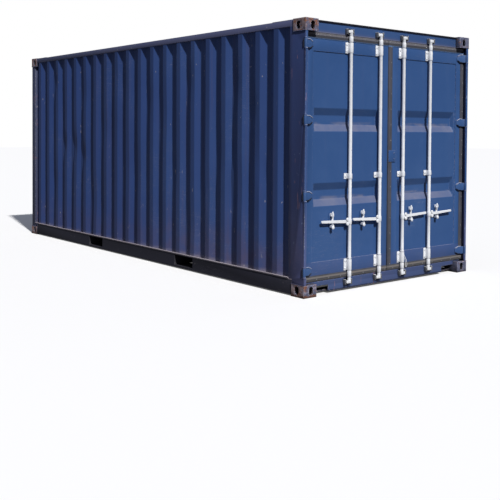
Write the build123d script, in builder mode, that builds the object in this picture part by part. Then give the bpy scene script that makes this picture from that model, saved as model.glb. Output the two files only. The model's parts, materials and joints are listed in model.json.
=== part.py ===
"""A 20 ft steel shipping container with two doors at one end.

Frame: +X runs along the length towards the doors, +Z is up, and the origin is at the bottom
centre. Left and right are as seen by someone facing the doors, so the left side is at -Y.
"""
import os
from math import hypot

from build123d import *

os.makedirs("parts", exist_ok=True)

# Overall size
length = 6058
width = 2438
height = 2591

# Corner fittings, of cast steel, hollow, with a slot and two side holes for locks and hooks
fitting_length = 178
fitting_width = 162
fitting_height = 118
fitting_wall = 28
fitting_inner_wall = 12
fitting_edge_radius = 6
slot_inset_x = 102.5
slot_inset_y = 89.5
slot_length = 124
slot_width = 63.5
side_hole_height = 79.5
side_hole_width = 63.5
end_hole_width = 51
hole_edge_height = 24

# Steel sections of the frame
frame_inset = 6
rail_inset_z = 8
plate = 4
rail_tube = 60
rail_height = 58
rail_wall = 4
bottom_rail_bottom = 13
bottom_rail_height = 147
bottom_rail_wall = 4.5
bottom_rail_top_flange = 48
bottom_rail_bottom_flange = 30
overrun = 20

# Rear corner posts: a closed inner section with an outer fin that carries the door hinges
post_reach = 226
post_box_depth = 111
post_box_width = 45
post_wall = 6
post_fin = 12
post_lip = 28

# Front corner posts, folded from plate
front_post_side = 113
front_post_front = 83
front_post_return = 42

# Corrugated sheets
sheet = 2
wall_inset = 9
wall_corrugation_depth = 36
wall_outer_flat = 73
wall_slope = 69
wall_inner_flat = 71
wall_end_flat = 101
front_corrugation_depth = 45
front_outer_flat = 111
front_slope = 18
front_inner_flat = 104
roof_corrugation_depth = 20
roof_flat = 91
roof_slope = 14
roof_end_flat = 60

# Floor, cross members and fork pockets
floor_thickness = 28
member_height = 122
member_flange = 45
member_wall = 4
outer_bay_members = 6
middle_bay_members = 6
pocket_width = 360
pocket_height = 115
pocket_bottom = 35
pocket_spacing = 2050
pocket_strap = 200

# Door end: the header above and the sill below the doors
door_recess = 60
header_depth = 120
header_height = 110
header_lip = 10
header_lip_reach = 8
stop_thickness = 10
stop_reach = 43
sill_bottom = 21
sill_top = 130
sill_plate = 10
sill_depth = 150
sill_cut_width = 205
sill_cut_depth = 45
sill_cut_top = 86

# Doors
door_thickness = 50
door_bottom = 183
door_top_inset = 48
door_side_inset = 51
left_door_edge = 36
right_door_edge = 5
door_stile = 100
door_bottom_rail = 130
door_top_rail = 128
panel_setback = 8
panel_sheet = 3
trough_mouth = 222
trough_floor = 84
trough_depth = 36
trough_end_margin = 20
trough_end_slope = 22
trough_height_shares = (0.3403, 0.657)
gasket_width = 54
gasket_lap = 26
gasket_lip = 4
gasket_body = 44
centre_gasket_half = 27
running_gap = 5

# Hinges, four on each door
hinge_inset = 16
pin_radius = 9
knuckle_radius = 15
knuckle_height = 80
hinge_notch = 96
hinge_notch_depth = 33
lug_height = 12
lug_gap = 0.5
pin_clearance = 0.08
pin_seat_clearance = 0.05
lowest_hinge = 238
highest_hinge_inset = 66
hinges_per_door = 4
blade_height = 86
blade_tip_height = 46
blade_reach = 90
blade_thickness = 16
blade_tip_thickness = 8
blade_taper = 42
arm_start = 53
arm_bend = 25
arm_thickness = 13

# Lock rods with their cams, hubs, brackets and keepers
rod_radius = 17
rod_stand_off = 27
inner_rod = 174
outer_rod_inset = 571
rod_bottom = 74
rod_top_overlap = 50
cam_height = 26
cam_radius = 19
cam_nose = 42
cam_width = 20
cam_lift = 12
bracket_clearance = 0.4
bracket_ring = 5
bracket_foot = 26
bracket_plate = 6
bracket_plate_width = 78
top_bracket_inset = 19
top_bracket_height = 106
bottom_bracket = (197, 312)
middle_bracket = (1086, 1142)
bracket_bearing_share = 0.9
collar_radius = 20
collar_height = 14
keeper_gap = 6
keeper_cheek = 9
keeper_reach = 38
keeper_plate = 4
keeper_margin = 14

# Handles and their catches
handle_height = 675
handle_pivot = 38
handle_length = 378
handle_thickness = 12
handle_hub_height = 34
handle_grip_height = 24
handle_rise = 15
handle_eye_radius = 15
hub_cheek = 5
hub_gap = 0.5
hub_height = 52
handle_pin_radius = 6
left_catch = 230
right_catch = 138
catch_bottom = 626
catch_top = 766
catch_width = 40
catch_plate = 6
catch_reach = 47
catch_lower_top = 652
catch_upper_bottom = 734
catch_finger_width = 18

# Plates
overlap_plate_bottom = 1240
overlap_plate_height = 119
overlap_plate_left = -26
overlap_plate_right = 77
overlap_plate_thickness = 6
corner_plate_length = 310
corner_plate_width = 200

# Places worked out from the sizes above
end_x = length / 2
side_y = width / 2
frame_end = end_x - frame_inset
frame_side = side_y - frame_inset
fitting_x = end_x - fitting_length
fitting_y = side_y - fitting_width
rail_top = height - rail_inset_z
rail_bottom = rail_top - rail_height
rail_inner = frame_side - rail_tube
bottom_rail_top = bottom_rail_bottom + bottom_rail_height
floor_bottom = bottom_rail_top - bottom_rail_wall
floor_side = frame_side - bottom_rail_top_flange
floor_top = floor_bottom + floor_thickness
upper_fitting_bottom = height - fitting_height
door_face = end_x - door_recess
door_inner = door_face - door_thickness
post_x = end_x - post_reach
post_box_end = post_x + post_box_depth
post_inner = frame_side - post_box_width
front_post_x = -frame_end + front_post_side
front_post_y = frame_side - front_post_front
wall_side = side_y - wall_inset
wall_run = post_x - front_post_x
header_bottom = rail_top - header_height
door_top = header_bottom - door_top_inset
door_side = side_y - door_side_inset
stop_x = post_box_end - stop_thickness
gasket_outer = door_side - gasket_lap + gasket_width
gasket_bottom = sill_top + running_gap
gasket_top = header_bottom - running_gap
gasket_back = door_face - gasket_body
panel_face = door_face - panel_setback
stile_inner = door_side - door_stile
panel_bottom = door_bottom + door_bottom_rail
panel_top = door_top - door_top_rail
hinge_x = end_x - hinge_inset
hinge_y = side_y - hinge_inset
hinge_spacing = (door_top - highest_hinge_inset - lowest_hinge) / (hinges_per_door - 1)
hinge_heights = [lowest_hinge + hinge_spacing * k for k in range(hinges_per_door)]
blade_tip = door_side - blade_reach
trough_heights = [door_bottom + share * (door_top - door_bottom) for share in trough_height_shares]
rod_x = door_face + rod_stand_off
rod_top = header_bottom + rod_top_overlap
outer_rod = door_side - outer_rod_inset
top_bracket_top = door_top - top_bracket_inset
top_bracket = (top_bracket_top - top_bracket_height, top_bracket_top)
rods = {"outer": outer_rod, "inner": inner_rod}
sides = {"left": -1, "right": 1}
catch_distance = {"left": left_catch, "right": right_catch}
door_edges = {"left": left_door_edge, "right": right_door_edge}


def save(piece, label):
    """Names a finished piece and writes it."""
    piece.part.label = label
    export_step(piece.part, f"parts/{label}.step")


def block(x, y, z, mode=Mode.ADD):
    """A rectangular bar between two corners, each axis given as its two ends."""
    centre = [sum(ends) / 2 for ends in (x, y, z)]
    size = [abs(ends[1] - ends[0]) for ends in (x, y, z)]
    with Locations(tuple(centre)):
        Box(*size, mode=mode)


def span(side, near, far):
    """The two ends in Y of something between two distances from the middle."""
    return (side * near, side * far)


def corner_fitting(bottom):
    """One hollow casting, at the bottom or top of the right door corner."""
    outer_z = 0 if bottom else height
    up = 1 if bottom else -1
    slot_x = end_x - slot_inset_x
    slot_y = side_y - slot_inset_y
    hole_z = outer_z + up * (hole_edge_height + side_hole_height / 2)
    with BuildPart() as fitting:
        block((fitting_x, end_x), (fitting_y, side_y), (outer_z, outer_z + up * fitting_height))
        fillet(fitting.faces().sort_by(Axis.X)[-1].edges(), fitting_edge_radius)
        block(
            (fitting_x + fitting_inner_wall, end_x - fitting_wall),
            (fitting_y + fitting_inner_wall, side_y - fitting_wall),
            (outer_z + up * fitting_wall, outer_z + up * (fitting_height - fitting_inner_wall)),
            mode=Mode.SUBTRACT,
        )
        with BuildSketch(Plane.XY.offset(outer_z)):
            with Locations((slot_x, slot_y)):
                SlotOverall(slot_length, slot_width)
        extrude(amount=up * fitting_wall, mode=Mode.SUBTRACT)
        with BuildSketch(Plane.XZ.offset(-side_y)):
            with Locations((slot_x, hole_z)):
                SlotOverall(side_hole_height, side_hole_width, rotation=90)
        extrude(amount=fitting_wall, mode=Mode.SUBTRACT)
        with BuildSketch(Plane.YZ.offset(end_x)):
            with Locations((slot_y, hole_z)):
                SlotOverall(side_hole_height, end_hole_width, rotation=90)
        extrude(amount=-fitting_wall, mode=Mode.SUBTRACT)
    return fitting.part


def corrugation(start, count, own_flat, slope, other_flat, end_flat, own_depth, other_depth):
    """The points of a corrugated sheet, as (along, inward) pairs.

    The sheet starts on its own level and turns to the other level and back, count times.
    """
    points = [(start, own_depth)]
    along = start + end_flat
    for _ in range(count):
        points.append((along, own_depth))
        points.append((along + slope, other_depth))
        points.append((along + slope + other_flat, other_depth))
        points.append((along + 2 * slope + other_flat, own_depth))
        along += 2 * slope + other_flat + own_flat
    return points


# Corner fittings
for level, at_bottom in (("bottom", True), ("top", False)):
    door_corner = corner_fitting(at_bottom)
    with BuildPart() as corner_fittings:
        add(door_corner)
        mirror(about=Plane.YZ)
        mirror(about=Plane.XZ)
    save(corner_fittings, f"{level}_corner_fittings")

# Rear corner posts with the hinge lugs
for side_name, side in sides.items():
    with BuildPart() as rear_post:
        with BuildSketch(Plane.XY.offset(fitting_height)):
            with BuildLine():
                Polyline(
                    (post_x, side * frame_side),
                    (frame_end, side * frame_side),
                    (frame_end, side * (frame_side - post_lip)),
                    (frame_end - post_fin, side * (frame_side - post_lip)),
                    (frame_end - post_fin, side * (frame_side - post_fin)),
                    (post_box_end, side * (frame_side - post_fin)),
                    (post_box_end, side * post_inner),
                    (post_x, side * post_inner),
                    close=True,
                )
            make_face()
            with BuildLine():
                Polyline(
                    (post_x + post_wall, side * (frame_side - post_wall)),
                    (post_box_end - post_wall, side * (frame_side - post_wall)),
                    (post_box_end - post_wall, side * (post_inner + post_wall)),
                    (post_x + post_wall, side * (post_inner + post_wall)),
                    close=True,
                )
            make_face(mode=Mode.SUBTRACT)
        extrude(amount=rail_bottom - fitting_height)
        block(
            (fitting_x, end_x),
            span(side, 0, side_y),
            (upper_fitting_bottom, height),
            mode=Mode.SUBTRACT,
        )
        block(
            (post_x - overrun, fitting_x),
            span(side, 0, side_y),
            (0, bottom_rail_top),
            mode=Mode.SUBTRACT,
        )
        for z in hinge_heights:
            block(
                (frame_end - hinge_notch_depth, end_x),
                span(side, frame_side - post_lip, side_y),
                (z - hinge_notch / 2, z + hinge_notch / 2),
                mode=Mode.SUBTRACT,
            )
            for lug_bottom in (
                z - knuckle_height / 2 - lug_gap - lug_height,
                z + knuckle_height / 2 + lug_gap,
            ):
                with BuildSketch(Plane.XY.offset(lug_bottom)):
                    with Locations((hinge_x, side * hinge_y)):
                        Circle(knuckle_radius)
                    lug_x = (frame_end - hinge_notch_depth + hinge_x) / 2
                    with Locations((lug_x, side * (frame_side - post_fin / 2))):
                        Rectangle(hinge_x - frame_end + hinge_notch_depth, post_fin)
                    with Locations((hinge_x, side * hinge_y)):
                        Circle(pin_radius + pin_seat_clearance, mode=Mode.SUBTRACT)
                extrude(amount=lug_height)
            lug_reach = knuckle_height / 2 + lug_gap + lug_height
            with BuildSketch(Plane.XY.offset(z - lug_reach)):
                with Locations((hinge_x, side * hinge_y)):
                    Circle(pin_radius + pin_seat_clearance)
            extrude(amount=2 * lug_reach, mode=Mode.SUBTRACT)
    save(rear_post, f"{side_name}_rear_post")

    with BuildPart() as hinge_pins:
        for z in hinge_heights:
            lug_reach = knuckle_height / 2 + lug_gap + lug_height
            with BuildSketch(Plane.XY.offset(z - lug_reach)):
                with Locations((hinge_x, side * hinge_y)):
                    Circle(pin_radius)
            extrude(amount=2 * lug_reach)
    save(hinge_pins, f"{side_name}_hinge_pins")

# Front corner posts
for side_name, side in sides.items():
    with BuildPart() as front_post:
        with BuildSketch(Plane.XY.offset(fitting_height)):
            with BuildLine():
                Polyline(
                    (front_post_x, side * (frame_side - front_post_return)),
                    (front_post_x, side * frame_side),
                    (-frame_end, side * frame_side),
                    (-frame_end, side * front_post_y),
                    (-frame_end + front_post_return, side * front_post_y),
                    (-frame_end + front_post_return, side * (front_post_y + post_wall)),
                    (-frame_end + post_wall, side * (front_post_y + post_wall)),
                    (-frame_end + post_wall, side * (frame_side - post_wall)),
                    (front_post_x - post_wall, side * (frame_side - post_wall)),
                    (front_post_x - post_wall, side * (frame_side - front_post_return)),
                    close=True,
                )
            make_face()
        extrude(amount=upper_fitting_bottom - fitting_height)
    save(front_post, f"{side_name}_front_post")

# Side rails, above and below
for side_name, side in sides.items():
    with BuildPart() as top_side_rail:
        with BuildSketch(Plane.YZ.offset(-fitting_x)):
            with Locations((side * (frame_side - rail_tube / 2), rail_top - rail_height / 2)):
                Rectangle(rail_tube, rail_height)
                Rectangle(
                    rail_tube - 2 * rail_wall, rail_height - 2 * rail_wall, mode=Mode.SUBTRACT
                )
        extrude(amount=2 * fitting_x)
    save(top_side_rail, f"{side_name}_top_side_rail")

    with BuildPart() as bottom_side_rail:
        with BuildSketch(Plane.YZ.offset(-fitting_x)):
            with BuildLine():
                Polyline(
                    (side * floor_side, bottom_rail_top),
                    (side * frame_side, bottom_rail_top),
                    (side * frame_side, bottom_rail_bottom),
                    (side * (frame_side - bottom_rail_bottom_flange), bottom_rail_bottom),
                    (
                        side * (frame_side - bottom_rail_bottom_flange),
                        bottom_rail_bottom + bottom_rail_wall,
                    ),
                    (side * (frame_side - bottom_rail_wall), bottom_rail_bottom + bottom_rail_wall),
                    (side * (frame_side - bottom_rail_wall), floor_bottom),
                    (side * floor_side, floor_bottom),
                    close=True,
                )
            make_face()
        extrude(amount=2 * fitting_x)
        with BuildSketch(Plane.XZ.offset(-side * side_y)):
            with Locations((0, pocket_bottom + pocket_height / 2)):
                with GridLocations(pocket_spacing, 0, 2, 1):
                    Rectangle(pocket_width, pocket_height)
        extrude(amount=side * bottom_rail_top_flange, mode=Mode.SUBTRACT)
    save(bottom_side_rail, f"{side_name}_bottom_side_rail")

# Front end rails
with BuildPart() as front_top_rail:
    with BuildSketch(Plane.XZ.offset(-fitting_y)):
        with Locations((-frame_end + rail_tube / 2, rail_top - rail_height / 2)):
            Rectangle(rail_tube, rail_height)
            Rectangle(rail_tube - 2 * rail_wall, rail_height - 2 * rail_wall, mode=Mode.SUBTRACT)
    extrude(amount=2 * fitting_y)
save(front_top_rail, "front_top_rail")

with BuildPart() as front_bottom_rail:
    front_rail_height = bottom_rail_top - pocket_bottom
    with BuildSketch(Plane.XZ.offset(-fitting_y)):
        with Locations((-frame_end + rail_tube / 2, bottom_rail_top - front_rail_height / 2)):
            Rectangle(rail_tube, front_rail_height)
            Rectangle(
                rail_tube - 2 * rail_wall, front_rail_height - 2 * rail_wall, mode=Mode.SUBTRACT
            )
    extrude(amount=2 * fitting_y)
save(front_bottom_rail, "front_bottom_rail")

# Corrugated side walls, front wall and roof
wall_pitch = wall_outer_flat + 2 * wall_slope + wall_inner_flat
wall_line = corrugation(
    -post_x,
    int((wall_run - wall_end_flat) // wall_pitch),
    wall_inner_flat,
    wall_slope,
    wall_outer_flat,
    wall_end_flat,
    wall_corrugation_depth,
    0,
)
wall_line.append((-front_post_x, wall_corrugation_depth))
for side_name, side in sides.items():
    outer_line = [(-along, side * (wall_side - inward)) for along, inward in wall_line]
    inner_line = [(x, y - side * sheet) for x, y in reversed(outer_line)]
    with BuildPart() as side_wall:
        with BuildSketch(Plane.XY.offset(fitting_height)):
            with BuildLine():
                Polyline(*outer_line, *inner_line, close=True)
            make_face()
        extrude(amount=rail_bottom - fitting_height)
        block(
            (-fitting_x, end_x),
            span(side, 0, side_y),
            (0, bottom_rail_top),
            mode=Mode.SUBTRACT,
        )
        block(
            (-end_x, -fitting_x),
            span(side, 0, side_y),
            (upper_fitting_bottom, height),
            mode=Mode.SUBTRACT,
        )
    save(side_wall, f"{side_name}_side_wall")

front_pitch = front_outer_flat + 2 * front_slope + front_inner_flat
front_corrugations = int((2 * front_post_y - front_outer_flat / 2) // front_pitch)
front_margin = (2 * front_post_y - front_corrugations * front_pitch + front_outer_flat) / 2
front_line = corrugation(
    -front_post_y,
    front_corrugations,
    front_outer_flat,
    front_slope,
    front_inner_flat,
    front_margin,
    0,
    front_corrugation_depth,
)
front_line.append((front_post_y, 0))
with BuildPart() as front_wall:
    outer_line = [(-frame_end + frame_inset + inward, y) for y, inward in front_line]
    inner_line = [(x + sheet, y) for x, y in reversed(outer_line)]
    with BuildSketch(Plane.XY.offset(fitting_height)):
        with BuildLine():
            Polyline(*outer_line, *inner_line, close=True)
        make_face()
    extrude(amount=rail_bottom - fitting_height)
    block((-end_x, 0), (-fitting_y, fitting_y), (0, bottom_rail_top), mode=Mode.SUBTRACT)
    for side in sides.values():
        block(
            (-end_x, 0),
            span(side, fitting_y, side_y),
            (upper_fitting_bottom, height),
            mode=Mode.SUBTRACT,
        )
save(front_wall, "front_wall")

roof_front = -frame_end + rail_tube
roof_rear = door_face - header_depth
roof_pitch = 2 * (roof_flat + roof_slope)
roof_corrugations = int((roof_rear - roof_front - 2 * roof_end_flat) // roof_pitch)
roof_margin = (roof_rear - roof_front - roof_corrugations * roof_pitch + roof_flat) / 2
roof_line = corrugation(
    roof_front,
    roof_corrugations,
    roof_flat,
    roof_slope,
    roof_flat,
    roof_margin,
    0,
    roof_corrugation_depth,
)
roof_line.append((roof_rear, 0))
with BuildPart() as roof:
    upper_line = [(x, rail_top - inward) for x, inward in roof_line]
    lower_line = [(x, z - sheet) for x, z in reversed(upper_line)]
    with BuildSketch(Plane.XZ.offset(-rail_inner)):
        with BuildLine():
            Polyline(*upper_line, *lower_line, close=True)
        make_face()
    extrude(amount=2 * rail_inner)
    for end in (-1, 1):
        for side in sides.values():
            block(
                (end * fitting_x, end * end_x),
                span(side, fitting_y, side_y),
                (upper_fitting_bottom, height),
                mode=Mode.SUBTRACT,
            )
save(roof, "roof")

with BuildPart() as corner_plates:
    with BuildSketch(Plane.XY.offset(rail_top)):
        with GridLocations(
            2 * fitting_x - corner_plate_length, 2 * frame_side - corner_plate_width, 2, 2
        ):
            Rectangle(corner_plate_length, corner_plate_width)
    extrude(amount=plate)
save(corner_plates, "roof_corner_plates")

# Floor with its cross members and fork pockets
with BuildPart() as floor_boards:
    block(
        (-frame_end + rail_tube, door_inner - running_gap - stop_thickness),
        (-floor_side, floor_side),
        (floor_bottom, floor_top),
    )
save(floor_boards, "plywood_floor")

pocket_x = pocket_spacing / 2
pocket_half = pocket_width / 2 + plate
middle_reach = pocket_x - pocket_half - member_flange
outer_start = pocket_x + pocket_half + member_flange
sill_back = door_face - sill_depth
outer_reach = sill_back - member_flange
member_places = [
    -middle_reach + 2 * middle_reach * k / (middle_bay_members - 1)
    for k in range(middle_bay_members)
]
for k in range(outer_bay_members):
    place = outer_start + (outer_reach - outer_start) * k / (outer_bay_members - 1)
    member_places += [place, -place]
with BuildPart() as cross_members:
    with BuildSketch(Plane.XZ.offset(-(frame_side - bottom_rail_wall))):
        for x in member_places:
            facing = 1 if x > 0 else -1
            flange_x = x - facing * member_flange / 2
            with Locations((flange_x, floor_bottom - member_height / 2)):
                Rectangle(member_flange, member_height)
            with Locations((flange_x - facing * member_wall, floor_bottom - member_height / 2)):
                Rectangle(member_flange, member_height - 2 * member_wall, mode=Mode.SUBTRACT)
    extrude(amount=2 * (frame_side - bottom_rail_wall))
save(cross_members, "floor_cross_members")

with BuildPart() as fork_pockets:
    tunnel_reach = frame_side - bottom_rail_wall
    with BuildSketch(Plane.XZ.offset(-tunnel_reach)):
        with Locations((0, pocket_bottom + pocket_height / 2)):
            with GridLocations(pocket_spacing, 0, 2, 1):
                Rectangle(pocket_width + 2 * plate, pocket_height + 2 * plate)
                Rectangle(pocket_width, pocket_height, mode=Mode.SUBTRACT)
    extrude(amount=2 * tunnel_reach)
    block(
        (-end_x, end_x),
        (pocket_strap - tunnel_reach, tunnel_reach - pocket_strap),
        (0, pocket_bottom),
        mode=Mode.SUBTRACT,
    )
save(fork_pockets, "fork_pockets")

# Door header and sill
header_front = door_face
header_back = door_face - header_depth
with BuildPart() as door_header:
    with BuildSketch(Plane.XZ.offset(-fitting_y)):
        with BuildLine():
            Polyline(
                (header_back, rail_top),
                (header_front + header_lip_reach, rail_top),
                (header_front + header_lip_reach, rail_top - header_lip),
                (header_front, rail_top - header_lip),
                (header_front, header_bottom),
                (header_back, header_bottom),
                close=True,
            )
        make_face()
        with BuildLine():
            Polyline(
                (header_back + rail_wall, rail_top - rail_wall),
                (header_front - rail_wall, rail_top - rail_wall),
                (header_front - rail_wall, header_bottom + rail_wall),
                (header_back + rail_wall, header_bottom + rail_wall),
                close=True,
            )
        make_face(mode=Mode.SUBTRACT)
    extrude(amount=2 * fitting_y)
save(door_header, "door_header")

with BuildPart() as header_stop:
    block(
        (stop_x, stop_x + stop_thickness),
        (-post_inner, post_inner),
        (header_bottom - stop_reach, header_bottom),
    )
save(header_stop, "header_door_stop")

sill_stop_top = floor_top
with BuildPart() as door_sill:
    with BuildSketch(Plane.XZ.offset(-fitting_y)):
        with BuildLine():
            Polyline(
                (sill_back, sill_top),
                (stop_x, sill_top),
                (stop_x, sill_stop_top),
                (stop_x + stop_thickness, sill_stop_top),
                (stop_x + stop_thickness, sill_top),
                (door_face, sill_top),
                (door_face, sill_bottom),
                (sill_back, sill_bottom),
                (sill_back, sill_bottom + sill_plate),
                (door_face - sill_plate, sill_bottom + sill_plate),
                (door_face - sill_plate, sill_top - sill_plate),
                (sill_back, sill_top - sill_plate),
                close=True,
            )
        make_face()
    extrude(amount=2 * fitting_y)
    block(
        (sill_back, door_face),
        (-post_inner, post_inner),
        (fitting_height, sill_top),
    )
    cut_y = fitting_y - sill_cut_width / 2
    sill_cut_height = sill_cut_top - sill_bottom + sill_plate
    with BuildSketch(Plane.YZ.offset(door_face)):
        with Locations((0, sill_cut_top - sill_cut_height / 2)):
            with GridLocations(2 * cut_y, 0, 2, 1):
                RectangleRounded(sill_cut_width, sill_cut_height, sill_plate)
    extrude(amount=-sill_cut_depth, mode=Mode.SUBTRACT)
save(door_sill, "door_sill")


def keeper(side, rod, z, up):
    """One keeper: a plate with two cheeks either side of a cam, as a builder's content."""
    nose_reach = hypot(cam_nose, cam_width / 2) + keeper_gap
    hub_reach = cam_radius + keeper_gap
    nose_end = side * (rod + nose_reach)
    hub_end = side * (rod - hub_reach)
    ends = (z - up * keeper_margin, z + up * (cam_height + cam_lift))
    block(
        (door_face, door_face + keeper_plate),
        (nose_end + side * keeper_cheek, hub_end - side * keeper_cheek),
        ends,
    )
    for cheek in (nose_end, hub_end - side * keeper_cheek):
        block(
            (door_face, door_face + keeper_reach), (cheek, cheek + side * keeper_cheek), ends
        )


cam_levels = {"header": (rod_top - cam_height, 1), "sill": (rod_bottom + cam_height, -1)}
for place, (cam_level, cam_up) in cam_levels.items():
    with BuildPart() as keepers:
        for side in sides.values():
            for rod in rods.values():
                keeper(side, rod, cam_level, cam_up)
    save(keepers, f"{place}_cam_keepers")

def rod_bracket(y, low, high, seat):
    """One bearing bracket: a foot plate with a strap round the rod, as a builder's content."""
    ring = rod_radius + bracket_clearance + bracket_ring
    bearing_height = bracket_bearing_share * (high - low)
    bearing_bottom = (low + high - bearing_height) / 2
    block(
        (seat, seat + bracket_plate),
        (y + bracket_foot - bracket_plate_width, y + bracket_foot),
        (low, high),
    )
    with BuildSketch(Plane.XY.offset(bearing_bottom)) as strap:
        with Locations((rod_x, y)):
            Circle(ring)
        with Locations(((seat + rod_x) / 2, y)):
            Rectangle(rod_x - seat, 2 * ring)
    extrude(strap.sketch, amount=bearing_height)
    with BuildSketch(Plane.XY.offset(low)) as bore:
        with Locations((rod_x, y)):
            Circle(rod_radius + bracket_clearance)
    extrude(bore.sketch, amount=high - low, mode=Mode.SUBTRACT)


def handle_catch(y):
    """One catch: a plate with a shelf below the handle and a stop above it."""
    width_ends = (y - catch_finger_width / 2, y + catch_finger_width / 2)
    block(
        (panel_face, panel_face + catch_plate),
        (y - catch_width / 2, y + catch_width / 2),
        (catch_bottom, catch_top),
    )
    block((panel_face, panel_face + catch_reach), width_ends, (catch_bottom, catch_lower_top))
    block((panel_face, panel_face + catch_reach), width_ends, (catch_upper_bottom, catch_top))
    block(
        (panel_face + catch_reach - catch_plate, panel_face + catch_reach),
        width_ends,
        (catch_lower_top, catch_lower_top + catch_plate),
    )


# Doors
for side_name, side in sides.items():
    edge = door_edges[side_name]
    stile_edge = edge + door_stile
    with BuildPart() as door_frame:
        block((door_inner, door_face), span(side, edge, door_side), (door_bottom, door_top))
        block(
            (door_inner, door_face),
            span(side, stile_edge, stile_inner),
            (panel_bottom, panel_top),
            mode=Mode.SUBTRACT,
        )
    save(door_frame, f"{side_name}_door_frame")

    panel_middle = side * (stile_edge + stile_inner) / 2
    panel_width = stile_inner - stile_edge
    trough_width = panel_width - 2 * trough_end_margin
    with BuildPart() as door_panel:
        block(
            (panel_face - panel_sheet, panel_face),
            span(side, stile_edge, stile_inner),
            (panel_bottom, panel_top),
        )
        for z in trough_heights:
            for grow, back, mode in (
                (panel_sheet, trough_depth, Mode.ADD),
                (0, trough_depth - panel_sheet, Mode.SUBTRACT),
            ):
                with BuildSketch(Plane.YZ.offset(panel_face)):
                    with Locations((panel_middle, z)):
                        Rectangle(trough_width + 2 * grow, trough_mouth + 2 * grow)
                with BuildSketch(Plane.YZ.offset(panel_face - back)):
                    with Locations((panel_middle, z)):
                        Rectangle(
                            trough_width - 2 * trough_end_slope + 2 * grow,
                            trough_floor + 2 * grow,
                        )
                loft(mode=mode)
    save(door_panel, f"{side_name}_door_panel")

    inner_lap = edge if side < 0 else -centre_gasket_half
    with BuildPart() as door_gasket:
        block(
            (gasket_back, door_face),
            span(side, inner_lap, gasket_outer),
            (gasket_bottom, gasket_top),
        )
        block(
            (door_face, door_face + gasket_lip),
            span(side, inner_lap, gasket_outer),
            (gasket_bottom, gasket_top),
        )
        block(
            (gasket_back, door_face),
            span(side, edge, door_side),
            (door_bottom, door_top),
            mode=Mode.SUBTRACT,
        )
        lap_inner = edge if side < 0 else centre_gasket_half
        block(
            (door_face, door_face + gasket_lip),
            span(side, lap_inner, gasket_outer - gasket_width),
            (gasket_bottom + gasket_width, gasket_top - gasket_width),
            mode=Mode.SUBTRACT,
        )
    save(door_gasket, f"{side_name}_door_gasket")

    blade_face = door_face + blade_thickness
    bend_y = hinge_y - arm_bend
    lap_y = gasket_outer - gasket_width
    with BuildPart() as hinge_blade:
        with BuildSketch(Plane.XY.offset(-blade_height / 2)):
            with BuildLine():
                Polyline(
                    (door_face, side * blade_tip),
                    (door_face + blade_tip_thickness, side * blade_tip),
                    (blade_face, side * (blade_tip + blade_taper)),
                    (blade_face, side * (hinge_y - arm_start)),
                    (blade_face + arm_thickness, side * bend_y),
                    (hinge_x, side * hinge_y),
                    (hinge_x - knuckle_radius, side * hinge_y),
                    (blade_face, side * bend_y),
                    (door_face + gasket_lip, side * (hinge_y - arm_start + gasket_lip)),
                    (door_face + gasket_lip, side * lap_y),
                    (door_face, side * lap_y),
                    close=True,
                )
            make_face()
            with Locations((hinge_x, side * hinge_y)):
                Circle(knuckle_radius)
                Circle(pin_radius + pin_clearance, mode=Mode.SUBTRACT)
        extrude(amount=blade_height)
        with BuildSketch(Plane.YZ.offset(door_face)):
            with BuildLine():
                Polyline(
                    (side * blade_tip, blade_tip_height / 2),
                    (side * (blade_tip + blade_taper), blade_height / 2),
                    (side * (hinge_y - arm_start), blade_height / 2),
                    (side * bend_y, knuckle_height / 2),
                    (side * side_y, knuckle_height / 2),
                    (side * side_y, -knuckle_height / 2),
                    (side * bend_y, -knuckle_height / 2),
                    (side * (hinge_y - arm_start), -blade_height / 2),
                    (side * (blade_tip + blade_taper), -blade_height / 2),
                    (side * blade_tip, -blade_tip_height / 2),
                    close=True,
                )
            make_face()
        extrude(amount=door_recess, mode=Mode.INTERSECT)
    with BuildPart() as door_hinges:
        with Locations([(0, 0, z) for z in hinge_heights]):
            add(hinge_blade.part)
    save(door_hinges, f"{side_name}_door_hinges")

    with BuildPart() as rod_brackets:
        for rod in rods.values():
            for (low, high), seat in (
                (top_bracket, door_face),
                (middle_bracket, panel_face),
                (bottom_bracket, door_face),
            ):
                rod_bracket(side * rod, low, high, seat)
    save(rod_brackets, f"{side_name}_rod_brackets")

    with BuildPart() as handle_catches:
        for rod in rods.values():
            handle_catch(side * (rod + catch_distance[side_name]))
    save(handle_catches, f"{side_name}_handle_catches")

# Plate that laps over the joint between the doors
with BuildPart() as centre_plate:
    block(
        (door_face + gasket_lip, door_face + gasket_lip + overlap_plate_thickness),
        (overlap_plate_left, overlap_plate_right),
        (overlap_plate_bottom, overlap_plate_bottom + overlap_plate_height),
    )
    block(
        (door_face, door_face + gasket_lip),
        (centre_gasket_half, overlap_plate_right),
        (overlap_plate_bottom, overlap_plate_bottom + overlap_plate_height),
    )
save(centre_plate, "centre_overlap_plate")

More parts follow.
